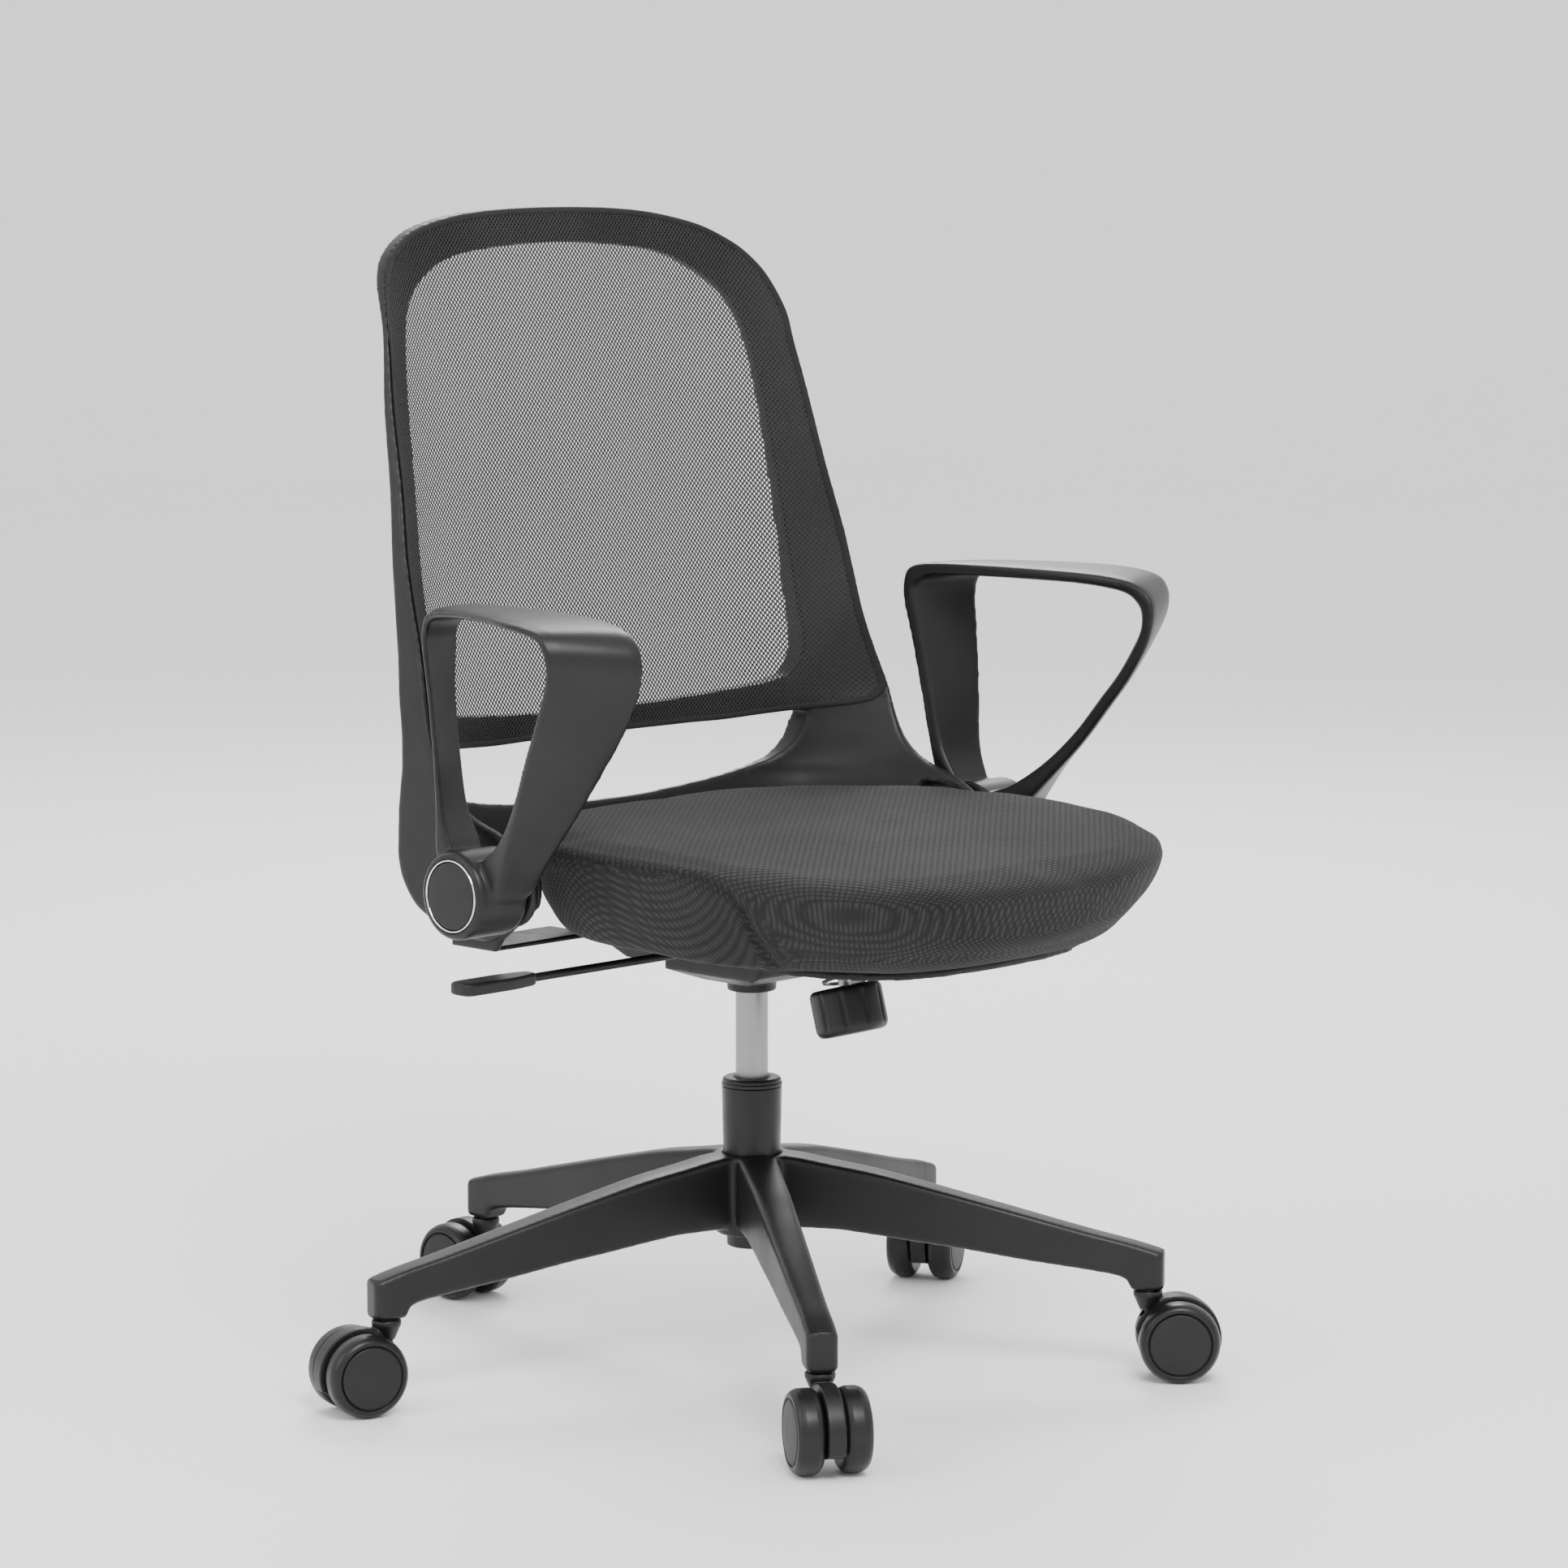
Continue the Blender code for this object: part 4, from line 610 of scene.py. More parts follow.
ARM_STATIONS = (
    (0.253, 0.029, 0.412, 0.012, 0.416, 0.29, 0.028, 0.412, 0.012, 0.416),
    (0.253, 0.0425, 0.43, 0.0235, 0.433, 0.2905, 0.035, 0.43, 0.02, 0.434),
    (0.2525, 0.051, 0.456, 0.0395, 0.458, 0.2905, 0.0345, 0.456, 0.0275, 0.458),
    (0.251, 0.059, 0.496, 0.049, 0.497, 0.292, 0.035, 0.496, 0.03, 0.497),
    (0.248, 0.067, 0.54, 0.057, 0.54, 0.2935, 0.0385, 0.54, 0.0335, 0.54),
    (0.243, 0.0722, 0.575, 0.061, 0.574, 0.295, 0.0425, 0.576, 0.0375, 0.576),
    (0.243, 0.072, 0.593, 0.06, 0.586, 0.296, 0.0415, 0.59, 0.0365, 0.587),
    (0.243, 0.065, 0.602, 0.054, 0.5925, 0.298, 0.035, 0.601, 0.031, 0.596),
    (0.2435, 0.043, 0.6055, 0.04, 0.5955, 0.301, 0.02, 0.605, 0.019, 0.6),
    (0.245, 0.005, 0.6068, 0.005, 0.597, 0.308, -0.01, 0.6065, -0.01, 0.602),
    (0.25, -0.05, 0.607, -0.049, 0.5972, 0.32, -0.05, 0.607, -0.049, 0.6025),
    (0.257, -0.1, 0.606, -0.098, 0.5965, 0.331, -0.085, 0.606, -0.083, 0.601),
    (0.264, -0.13, 0.6036, -0.126, 0.5938, 0.333, -0.108, 0.6037, -0.105, 0.5985),
    (0.269, -0.15, 0.599, -0.141, 0.59, 0.3335, -0.1218, 0.6001, -0.118, 0.595),
    (0.271, -0.1618, 0.5905, -0.15, 0.583, 0.3335, -0.129, 0.5938, -0.124, 0.589),
    (0.272, -0.1665, 0.58, -0.1535, 0.575, 0.333, -0.1324, 0.5839, -0.127, 0.581),
    (0.272, -0.1655, 0.565, -0.153, 0.563, 0.331, -0.131, 0.57, -0.1255, 0.569),
    (0.2715, -0.159, 0.547, -0.147, 0.55, 0.327, -0.1225, 0.552, -0.117, 0.554),
    (0.2705, -0.1436, 0.5229, -0.133, 0.528, 0.322, -0.108, 0.528, -0.103, 0.531),
    (0.269, -0.1248, 0.4998, -0.1145, 0.506, 0.316, -0.093, 0.506, -0.088, 0.509),
    (0.267, -0.1, 0.4705, -0.09, 0.4775, 0.308, -0.075, 0.478, -0.07, 0.482),
    (0.263, -0.074, 0.444, -0.062, 0.452, 0.3, -0.057, 0.45, -0.05, 0.456),
    (0.258, -0.05, 0.42, -0.033, 0.433, 0.295, -0.043, 0.426, -0.031, 0.437),
    (0.255, -0.033, 0.402, -0.01, 0.424, 0.292, -0.032, 0.406, -0.012, 0.425),
    (0.254, -0.015, 0.39, 0.004, 0.412, 0.291, -0.015, 0.39, 0.004, 0.412),
)
AXLE_R = 0.003
WEB_HALF = WHEEL_OFFSET - WHEEL_WIDTH / 2 - 0.0006
BOSS_R = 0.0112
BOLT_R = 0.004


def heading(degrees):
    """Leg direction on the floor."""
    a = math.radians(degrees)
    return Vector((math.sin(a), -math.cos(a), 0.0))


def seat_droop(y):
    t = max(0.0, (-y - 0.100) / 0.1904)
    return 0.0178 * t ** 1.6


def mirrored(half):
    """Closed outline from its right half, running top to bottom on the centre line."""
    left = [(-x, z) for x, z in half if x > 1e-9]
    return list(half) + left[::-1]


def front_half_width(z, wg):
    """Half-width of the front surface: inside the fins low down, almost the full width higher up."""
    blend = min(max((z - 0.4652) / (BAND_Z - 0.4652), 0.0), 1.0)
    return wg - FIN_T * (1.0 - blend) - 0.0030 * blend


def lower(ob):
    ob.data.transform(Matrix.Translation((0, 0, -DROP)))
    return ob


def turned(name, profile, mat, node, point=(0, 0, 0), axis=(0, 0, 1), soft=0.0006, segments=96, angle=40.0):
    """A lathe-turned piece with softened edges in the place of a CAD node."""
    ob = lower(add(name, revolve(fillet(profile, soft), segments, point, axis), mat, angle))
    return stand_for(ob, node)


# ---------------------------------------------------------------- base
def leg(direction):
    rings = []
    side = Vector((-direction.y, direction.x, 0.0))

    def section(d, half, top, low):
        r = min(0.0042, half * 0.45)
        s = 0.0026
        crown = 0.0007
        pts = [(half, low + s)] + arc(half - r, top - r, r, 0, 90, 6)
        pts += [(half * 0.4, top + crown * 0.8), (0.0, top + crown), (-half * 0.4, top + crown * 0.8)]
        pts += arc(-half + r, top - r, r, 90, 180, 6) + [(-half, low + s), (-half + s, low),
            (half - s, low)]
        return [direction * d + side * t + Vector((0, 0, z)) for t, z in pts]

    ds = list(np.linspace(0.010, 0.2895, 52))
    for d in ds:
        half = 0.0158 - 0.0042 * min(d / 0.27, 1.0)
        rings.append(section(d, half, float(curve(LEG_TOP, d)), float(curve(LEG_LOW, d))))
    for d, half, low in ((0.2918, 0.0117, 0.0765), (0.2935, 0.0118, SOCKET_Z), (0.3050, 0.0118, SOCKET_Z),
            (0.3135, 0.0116, SOCKET_Z), (0.3152, 0.0108, SOCKET_Z), (0.3166, 0.0094, SOCKET_Z),
            (0.3174, 0.0072, SOCKET_Z + 0.0008)):
        rings.append(section(d, half, float(curve(LEG_TOP, min(d, 0.315))), low))
    return loft(rings)


hub = [(0.0, HUB_LOW_Z), (0.0265, HUB_LOW_Z), (0.0285, HUB_LOW_Z + 0.002), (0.0300, 0.150),
    (0.0300, HUB_TOP_Z - 0.002), (0.0285, HUB_TOP_Z), (0.0, HUB_TOP_Z)]
base = add("base_shell", revolve(hub, 96), MAT["nylon"])
for _, turn, _ in LEGS:
    cut(base, leg(heading(turn)), "UNION")
cut(base, revolve([(0.0, 0.09), (TUBE_R_LOW + FIT, 0.09), (TUBE_R_LOW + FIT, HUB_LOW_Z),
    (TUBE_R_HUB + FIT, HUB_TOP_Z), (TUBE_R_HUB + FIT, 0.19), (0.0, 0.19)], 96))
melt(base, 0.0017, 5)
# the mouth of each caster socket
for _, turn, _ in LEGS:
    p = heading(turn) * STEM_CIRCLE_R
    cut(base, revolve(bar(STEM_R + 0.0004, 0.06, STEM_TOP + 0.0005), 32, point=p))
stand_for(lower(base), "five_star_base")

# ---------------------------------------------------------------- column
cap_low = COLUMN_TOP - CAP_T
turned("column_tube_look", [(0.0045, TUBE_LOW), (0.0183, TUBE_LOW), (0.01935, TUBE_LOW + 0.001),
    (0.0196, HUB_LOW_Z - 0.0004), (TUBE_R_LOW, HUB_LOW_Z), (TUBE_R_HUB, HUB_TOP_Z), (0.0231, cap_low - FIT),
    (TUBE_BORE_R, cap_low - FIT), (TUBE_BORE_R, TUBE_LOW + 0.003), (0.0045, TUBE_LOW + 0.003)], MAT["tube"],
    "column_tube")
turned("column_bush_look", [(PISTON_TUBE_R + 0.00008, 0.150), (TUBE_BORE_R - FIT, 0.150),
    (TUBE_BORE_R - FIT, cap_low), (CAP_R, cap_low), (CAP_R, COLUMN_TOP - 0.0040),
    (CAP_R - 0.0008, COLUMN_TOP - 0.0036), (CAP_R - 0.0008, COLUMN_TOP - 0.0015),
    (CAP_R - 0.0022, COLUMN_TOP), (PISTON_TUBE_R + 0.0022, COLUMN_TOP),
    (PISTON_TUBE_R + 0.0001, COLUMN_TOP - 0.0015)], MAT["bush"], "column_bush", soft=0.0007)
turned("gas_cylinder_look", [(0.0, CYL_LOW), (PISTON_TUBE_R, CYL_LOW), (PISTON_TUBE_R, 0.3000),
    (0.0119, CYL_TOP), (0.0, CYL_TOP)], MAT["piston"], "gas_cylinder", soft=0.0005)

# ---------------------------------------------------------------- mechanism
softened("mechanism_housing", MAT["steel_black"], 0.0011, 5)
softened("seat_plate", MAT["steel_black"], 0.0013, 4)
softened("lever_paddle", MAT["nylon"], 0.0007, 8)
for side, _ in SIDES:
    softened("seat_bracket_" + side, MAT["steel_black"], 0.0012, 4)
lo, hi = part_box("lever_rod")
rod_y, rod_z, rod_r = (lo.y + hi.y) / 2, (lo.z + hi.z) / 2, (hi.z - lo.z) / 2
rod = add("lever_rod_look", revolve(fillet(bar(rod_r, lo.x, hi.x), 0.0006), 48, (0, rod_y, rod_z),
    (1, 0, 0)), MAT["steel_black"])
stand_for(rod, "lever_rod", measured=True)

# knob with finger ribs and a dished foot
k = KNOB_LENGTH
outer = [(0.0, 0.0006), (0.012, 0.0004), (KNOB_R - 0.0060, 0.0), (KNOB_R - 0.0035, 0.0005),
    (KNOB_R - 0.0017, 0.0019), (KNOB_R - 0.0006, 0.0038), (KNOB_R, 0.0060), (KNOB_R, 0.0100),
    (KNOB_R, k * 0.5), (KNOB_R, k - 0.0085), (KNOB_R, k - 0.0045), (KNOB_R - 0.0004, k - 0.0028),
    (KNOB_R - 0.0014, k - 0.0012), (KNOB_R - 0.0032, k), (0.0205, k), (0.0205, 0.0140),
    (BOLT_R + FIT, 0.0140), (BOLT_R + FIT, 0.0055), (0.0, 0.0055)]
RIBS = 10


def ribbed(r, h, a):
    """The knob's radius at an angle, dented between its finger ribs."""
    if r <= KNOB_R - 0.0042 or r <= 0.021:
        return r
    foot, head = (h - 0.0035) / 0.004, (KNOB_LENGTH - 0.0030 - h) / 0.004
    band = min(max(foot, 0.0), 1.0) * min(max(head, 0.0), 1.0)
    dip = max(0.0, (math.cos(RIBS * (a - 2 * math.pi * 0.5 / RIBS)) - 0.70) / 0.30)
    return r - 0.0013 * band * dip ** 0.8


knob = lower(add("knob_look", revolve(outer, 240, KNOB_FOOT, KNOB_UP, ribbed), MAT["nylon"], 50))
stand_for(knob, "tension_knob")


# ---------------------------------------------------------------- seat
def seat_at(scale, z, count=168, upright=False):
    a = 2 * np.pi * np.arange(count) / count
    c, s = np.cos(a), np.sin(a)
    n = np.where(s < 0, SEAT_POWER_FRONT, SEAT_POWER_REAR)
    y = SEAT_Y0 + SEAT_HALF_DEPTH * scale * np.copysign(np.abs(s) ** (2 / n), s)
    t = np.clip((y + 0.235) / 0.065, 0.0, 1.0)
    wide = scale + (0.58 * t * t * (3 - 2 * t) * (1 - scale) if upright else 0.0)
    x = SEAT_HALF_WIDTH * wide * np.copysign(np.abs(c) ** (2 / n), c)
    return [(x[i], y[i], z - seat_droop(y[i])) for i in range(count)]


low = CUSHION_LOW - SEAT_MID_Z
crown = SEAT_CROWN
rows = ((0.10, low), (0.40, low), (0.740, low), (0.763, low), (0.812, low * 0.92), (0.857, low * 0.80),
    (0.9425, low * 0.50), (0.985, low * 0.20), (1.0, 0.0), (0.990, crown * 0.35), (0.970, crown * 0.62),
    (0.900, crown * 0.82), (0.72, crown * 0.94), (0.40, crown), (0.10, crown))
fine = list(rows[:3]) + [tuple(r) for r in dense(rows[3:13], 5)] + list(rows[13:])
SLACK = 0.0022
pad = loft([seat_at(s, SEAT_MID_Z + h, upright=s > 0.7 and h < 0.0) for s, h in fine])
cushion = add("seat_cushion_look", pad, MAT["seat"], None)
lower(cushion)
melt(cushion, 0.0050, 14)
me = cushion.data
count = len(me.vertices)
co, no = rows_of(me, "co"), rows_of(me, "normal")
floor_z = CUSHION_LOW - DROP
free = np.clip((co[:, 2] - floor_z - 0.004 + np.array([seat_droop(y) for y in co[:, 1]])) / 0.012, 0.0, 1.0)
REST = co.copy()
co = co - no * (SLACK * free)[:, None]
me.vertices.foreach_set("co", co.ravel())
me.update()
pins = cushion.vertex_groups.new(name="pins")
for i in np.nonzero(free < 0.5)[0]:
    pins.add([int(i)], 1.0, "REPLACE")
cloth = cushion.modifiers.new("cloth", "CLOTH")
st = cloth.settings
st.quality = 8
st.mass = 0.3
st.tension_stiffness = 12
st.compression_stiffness = 12
st.shear_stiffness = 6
st.bending_stiffness = 1.2
st.use_pressure = True
st.uniform_pressure_force = 4.0
st.vertex_group_mass = "pins"
st.effector_weights.gravity = 0.0
cloth.collision_settings.use_collision = False
cloth.point_cache.frame_start = 1
cloth.point_cache.frame_end = 20
scene = bpy.context.scene
for f in range(1, 21):
    scene.frame_set(f)
bpy.context.view_layer.update()
graph = bpy.context.evaluated_depsgraph_get()
done = cushion.evaluated_get(graph).to_mesh()
new = rows_of(done, "co")
cushion.evaluated_get(graph).to_mesh_clear()
cushion.modifiers.clear()
scene.frame_set(1)
move = new - co
size = np.linalg.norm(move, axis=1)
cap = 0.0045
move *= (np.minimum(size, cap) / np.maximum(size, 1e-9))[:, None]
ends = np.empty(len(me.edges) * 2, np.int32)
me.edges.foreach_get("vertices", ends)
ends = ends.reshape(-1, 2)
degree = np.bincount(ends.ravel(), minlength=count)[:, None]
for _ in range(14):          # the foam evens out the short wrinkles of the cover
    near = np.zeros_like(move)
    np.add.at(near, ends[:, 0], move[ends[:, 1]])
    np.add.at(near, ends[:, 1], move[ends[:, 0]])
    move = 0.4 * move + 0.6 * near / degree
co = co + move
# keep the pad inside the solid it stands for
over = np.einsum("ij,ij->i", co - REST, no)
co -= no * np.clip(over - 0.0012, 0.0, None)[:, None]
me.vertices.foreach_set("co", co.ravel())
me.update()
mod = cushion.modifiers.new("sub", "SUBSURF")
mod.levels = 1
mod.render_levels = 1
bake(cushion)

# the seams between the top, which wraps over the front, and the two side panels
SEAM = dense([(-0.2040, 0.360), (-0.2035, 0.380), (-0.2025, 0.397), (-0.1965, 0.4100), (-0.183, 0.4180),
    (-0.160, 0.4222), (-0.130, 0.4236), (-0.080, 0.4240), (-0.020, 0.4240), (0.040, 0.4236),
    (0.088, 0.4230), (0.110, 0.4225)], 24)
SEAM[:, 1] -= DROP


def skin_tree(ob):
    return BVHTree.FromPolygons([v.co[:] for v in ob.data.vertices],
        [p.vertices[:] for p in ob.data.polygons])


def seam_lines(ob):
    tree = skin_tree(ob)
    out = []
    for s in (-1, 1):
        line = []
        for y, z in SEAM:
            hit, normal, _, _ = tree.ray_cast(Vector((s * 0.34, y, z)), Vector((-s, 0, 0)))
            if hit is not None:
                line.append((hit.copy(), normal.copy()))
        out.append(line)
    return out


lines = seam_lines(cushion)
kd = KDTree(sum(len(x) for x in lines))
n = 0
for line in lines:
    for p, _ in line:
        kd.insert(p, n)
        n += 1
kd.balance()
me = cushion.data
for v in me.vertices:
    if abs(v.co.x) < 0.10:
        continue
    _, _, d = kd.find(v.co)
    if d < 0.016:
        dip = -0.0026 * math.exp(-(d / 0.0024) ** 2) + 0.0009 * math.exp(-((d - 0.0075) / 0.0036) ** 2)
        v.co += v.normal * dip
me.update()

# cloth map: the top runs over the front edge, each side panel has its own lie
attr = me.attributes.new("cloth", "FLOAT_VECTOR", "CORNER")
co, no = rows_of(me, "co"), rows_of(me, "normal")
nl = len(me.loops)
loop_v = np.empty(nl, np.int32)
me.loops.foreach_get("vertex_index", loop_v)
npoly = len(me.polygons)
centre = np.empty(npoly * 3)
me.polygons.foreach_get("center", centre)
centre = centre.reshape(-1, 3)
total = np.empty(npoly, np.int32)
me.polygons.foreach_get("loop_total", total)
edge_z = np.interp(centre[:, 1], SEAM[12:, 0], SEAM[12:, 1])
side_face = (centre[:, 1] > -0.2036) & (centre[:, 2] < edge_z) & (np.abs(centre[:, 0]) > 0.085)
loop_side = np.repeat(side_face, total)
top_z = SEAT_MID_Z - DROP
x, y, z = co[:, 0], co[:, 1], co[:, 2]
fall = np.minimum(z - top_z, 0.0)
top_u = x + np.sign(x) * -fall * no[:, 0] ** 2
top_v = y + fall * no[:, 1] ** 2
lie = 0.10 - 0.55 * np.clip((-y - 0.02) / 0.18, 0, 1) ** 2
side_u = y * np.cos(lie) - z * np.sin(lie) + 0.31
side_v = y * np.sin(lie) + z * np.cos(lie) + 0.17
values = np.zeros((nl, 3), np.float32)
values[:, 0] = np.where(loop_side, side_u[loop_v], top_u[loop_v])
values[:, 1] = np.where(loop_side, side_v[loop_v], top_v[loop_v])
attr.data.foreach_set("vector", values.ravel())
for poly in me.polygons:
    poly.use_smooth = True
stand_for(cushion, "seat_cushion")

# stitches along each seam
STITCH_HALF, STITCH_R, STITCH_STEP, STITCH_OFF = 0.0018, 0.0006, 0.0060, 0.0030
BEAD = [(t, math.sqrt(1 - t * t)) for t in (-1.0, -0.75, -0.3, 0.3, 0.75, 1.0)]


def stitch(p, along, out, half, r):
    a = along.normalized()
    o = out.normalized()
    b = a.cross(o).normalized()
    turns = [2 * math.pi * q / 8 for q in range(8)]
    return loft([[p + a * (half * t) + (o * math.cos(q) + b * math.sin(q)) * (r * max(w, 0.12))
                  for q in turns] for t, w in BEAD])


tree = skin_tree(cushion)
for (side, s), line in zip(SIDES, lines):
    vs, fs = [], []
    pts = [p for p, _ in line]
    walked = 0.0
    nxt = 0.003
    for i in range(1, len(pts) - 1):
        walked += (pts[i] - pts[i - 1]).length
        if walked < nxt:
            continue
        nxt = walked + STITCH_STEP
        along = pts[i + 1] - pts[i - 1]
        for off in (-STITCH_OFF, STITCH_OFF):
            n0 = line[i][1]
            b = along.cross(n0).normalized()
            hit, nn, _, _ = tree.find_nearest(pts[i] + b * off)
            v2, f2 = stitch(hit + nn * 0.0001, along, nn, STITCH_HALF, STITCH_R)
            base_i = len(vs)
            vs += v2
            fs += [tuple(q + base_i for q in f) for f in f2]
    ob = add("seat_stitches_" + side, (vs, fs), MAT["thread"], 60)
    extra(ob, "seat_cushion")

softened("seat_pan", MAT["pan"], 0.0018, 3)


# ---------------------------------------------------------------- back
def column(i):
    return [(row[0], row[i]) for row in BACK_ROWS]


def back_section(z):
    k_, ye, yg, yc, pf, pg, tc = (float(curve(column(i), z)) for i in range(1, 8))
    wg = BACK_HALF_WIDTH * k_
    wf = front_half_width(z, wg)
    base_u = np.concatenate([np.linspace(0, 0.8, 14), np.linspace(0.8, 1.0, 12)[1:]])
    us = np.concatenate([-base_u[:0:-1], base_u])
    ring = [(wf * u, ye + (yc - ye) * (1.0 - abs(u) ** pf), z) for u in us]
    ring.append((wg, ye + 0.0012, z))
    ring += [(wg * u, yg + (yc + tc - yg) * (1.0 - abs(u) ** pg), z) for u in us[::-1]]
    ring.append((-wg, ye + 0.0012, z))
    return ring


def smooth_outline(half, times=3):
    return mirrored([tuple(p) for p in dense(half, times)])


zs = np.concatenate([np.linspace(0.3575, 0.5200, 60), np.linspace(0.5200, 0.9000, 60)[1:]])
shell = add("back_shell", loft([back_section(float(z)) for z in zs]), MAT["shell"], None)
cut(shell, prism(mirrored([tuple(p) for p in dense(OUTLINE[:-1], 3)] + [(0.30, 0.7650), (0.30, 0.30)]), "y",
    -0.2, 0.4), "INTERSECT")
cut(shell, prism(smooth_outline(WINDOW), "y", 0.05, 0.4))
cut(shell, prism(smooth_outline(GAP, 2), "y", 0.0, 0.4))
inner = BACK_HALF_WIDTH - FIN_T


def block(x0, x1, y0, y1, z0, z1):
    return prism([(x0, y0), (x1, y0), (x1, y1), (x0, y1)], "z", z0, z1)


cut(shell, block(-inner, inner, -0.2, 0.4, 0.30, 0.3960))
cut(shell, block(-inner, inner, -0.2, HUB_Y + 0.0335, 0.30, HUB_Z + 0.0320))
melt(shell, 0.0021, 4)
lower(shell)
for side, s in SIDES:
    p = (s * inner, HUB_Y, HUB_Z - DROP)
    cut(shell, revolve(bar(PIVOT_R + FIT, -0.02, 0.02), 48, p, (1, 0, 0)))
stand_for(shell, "back_frame")

# knitted net: staggered upright holes with rounded yarn between them
PITCH, RISE = 0.0037, 0.00215
HOLE_W, HOLE_H = 0.00076, 0.00130

def edge_x(z):
    """Half-width of the net at a table height, set by the shell's own front face and the outline."""
    half = front_half_width(z, BACK_HALF_WIDTH * float(curve(column(1), z)))
    xs = [half]
    top = [(q, p) for p, q in OUTLINE]
    if z > 0.7650:
        zz = np.array([q for q, _ in top][::-1])
        pp = np.array([p for _, p in top][::-1])
        xs.append(float(np.interp(z, zz, pp)))
    return min(xs)


def low_z(x):
    pts = sorted(MESH_EDGE)
    return float(np.interp(x, [p for p, _ in pts], [q for _, q in pts]))


NET_LOW, NET_TOP = 0.4780, 0.8884
z_grid = np.linspace(NET_LOW, NET_TOP, 400)
half_grid = np.array([edge_x(float(z)) for z in z_grid])
ye_g, yc_g, pf_g = (curve(column(i), z_grid) for i in (2, 4, 5))
fw_g = np.array([front_half_width(float(z), BACK_HALF_WIDTH * float(curve(column(1), float(z))))
    for z in z_grid])


def net_y(x, z):
    fw = np.interp(z, z_grid, fw_g)
    ye = np.interp(z, z_grid, ye_g)
    yc = np.interp(z, z_grid, yc_g)
    pf = np.interp(z, z_grid, pf_g)
    u = np.clip(np.abs(x) / fw, 0, 1)
    return ye + (yc - ye) * (1.0 - u ** pf)


hexa = [(0.0, 1.871), (0.925, 1.075), (1.85, 0.279), (1.85, -0.279), (0.925, -1.075), (0.0, -1.871),
    (-0.925, -1.075), (-1.85, -0.279), (-1.85, 0.279), (-0.925, 1.075)]
hexa = np.array(hexa) / 1000.0
ang = np.arctan2(hexa[:, 1] / HOLE_H, hexa[:, 0] / HOLE_W)
hole = np.stack([HOLE_W * np.cos(ang), HOLE_H * np.sin(ang)], 1)
mid = hexa * 0.42 + hole * 0.58
cells = []
INSET = 0.0022
for j in range(int((NET_TOP - NET_LOW) / RISE) + 1):
    z = 0.4795 + j * RISE
    if z > NET_TOP - INSET:
        break
    hw = float(np.interp(z + 0.0012, z_grid, half_grid)) - INSET
    shift = 0.5 * PITCH if j % 2 else 0.0
    n_side = int((hw + shift) / PITCH) + 1
    for i in range(-n_side - 1, n_side + 2):
        x = i * PITCH + shift
        if abs(x) < hw and z > low_z(abs(x)) + INSET:
            cells.append((x, z))
cells = np.array(cells)
nc = len(cells)
ring_pts = np.stack([hexa, mid, hole], 0)                     # 3 x 10 x 2
flat = cells[:, None, None, :] + ring_pts[None]               # nc x 3 x 10 x 2
X = flat[..., 0]
Z = flat[..., 1]
Y = net_y(X, Z) - 0.0013
Y[:, 0] += 0.00002
Y[:, 1] -= 0.00016
Y[:, 2] += 0.00034
P = np.stack([X, Y, Z - DROP], -1).reshape(-1, 3)
idx = np.arange(nc * 30).reshape(nc, 3, 10)
nx = np.roll(idx, -1, axis=2)
quads = np.concatenate([np.stack([idx[:, a], nx[:, a], nx[:, a + 1], idx[:, a + 1]], -1).reshape(-1, 4)
    for a in (0, 1)])
net = bpy.data.meshes.new("back_net")
net.vertices.add(len(P))
net.vertices.foreach_set("co", P.astype(np.float32).ravel())
net.loops.add(len(quads) * 4)
net.loops.foreach_set("vertex_index", quads.astype(np.int32).ravel())
net.polygons.add(len(quads))
net.polygons.foreach_set("loop_start", np.arange(0, len(quads) * 4, 4, dtype=np.int32))
net.update(calc_edges=True)
bm = bmesh.new()
bm.from_mesh(net)
bmesh.ops.remove_doubles(bm, verts=bm.verts, dist=0.00003)
bm.to_mesh(net)
bm.free()
back_net = link("back_net", net, MAT["mesh"], None)
stand_for(back_net, "back_mesh")

# hem along the net's edge
right = []
for z in np.linspace(0.4990, 0.7900, 60):
    right.append((float(np.interp(z, z_grid, half_grid)), float(z)))
top_part = [tuple(p) for p in dense(OUTLINE[:-1], 5)][::-1]
top_part = [p for p in top_part if p[1] > 0.7930]
bottom = [tuple(p) for p in dense([(0.0, 0.4812), (0.0818, 0.4811), (0.1314, 0.4808), (0.1994, 0.4855),
    (0.2237, 0.4886), (0.2371, 0.4926)], 8)]
half_loop = bottom + [p for p in right if p[1] > 0.4985] + top_part     # from the bottom middle to the top middle
loop = half_loop + [(-x, z) for x, z in half_loop[::-1] if x > 1e-6]
clean = [loop[0]]
for p in loop[1:]:
    if math.dist(p, clean[-1]) > 0.0018:
        clean.append(p)
if math.dist(clean[0], clean[-1]) < 0.0018:
    clean.pop()
pts2 = np.array(clean)
for _ in range(3):
    pts2 = 0.25 * np.roll(pts2, 1, 0) + 0.5 * pts2 + 0.25 * np.roll(pts2, -1, 0)
tang = np.roll(pts2, -1, 0) - np.roll(pts2, 1, 0)
tang /= np.linalg.norm(tang, axis=1)[:, None]
inw = np.stack([-tang[:, 1], tang[:, 0]], 1)
if np.sum(inw * (np.array([0.0, 0.68]) - pts2)) < 0:
    inw = -inw
rings = []
HEM = [(0.0004, 0.0002), (0.0002, 0.0010), (0.0008, 0.0018), (0.0022, 0.0021), (0.0038, 0.0020),
    (0.0047, 0.0016), (0.0050, 0.0010), (0.0046, 0.0005), (0.0022, 0.0002)]
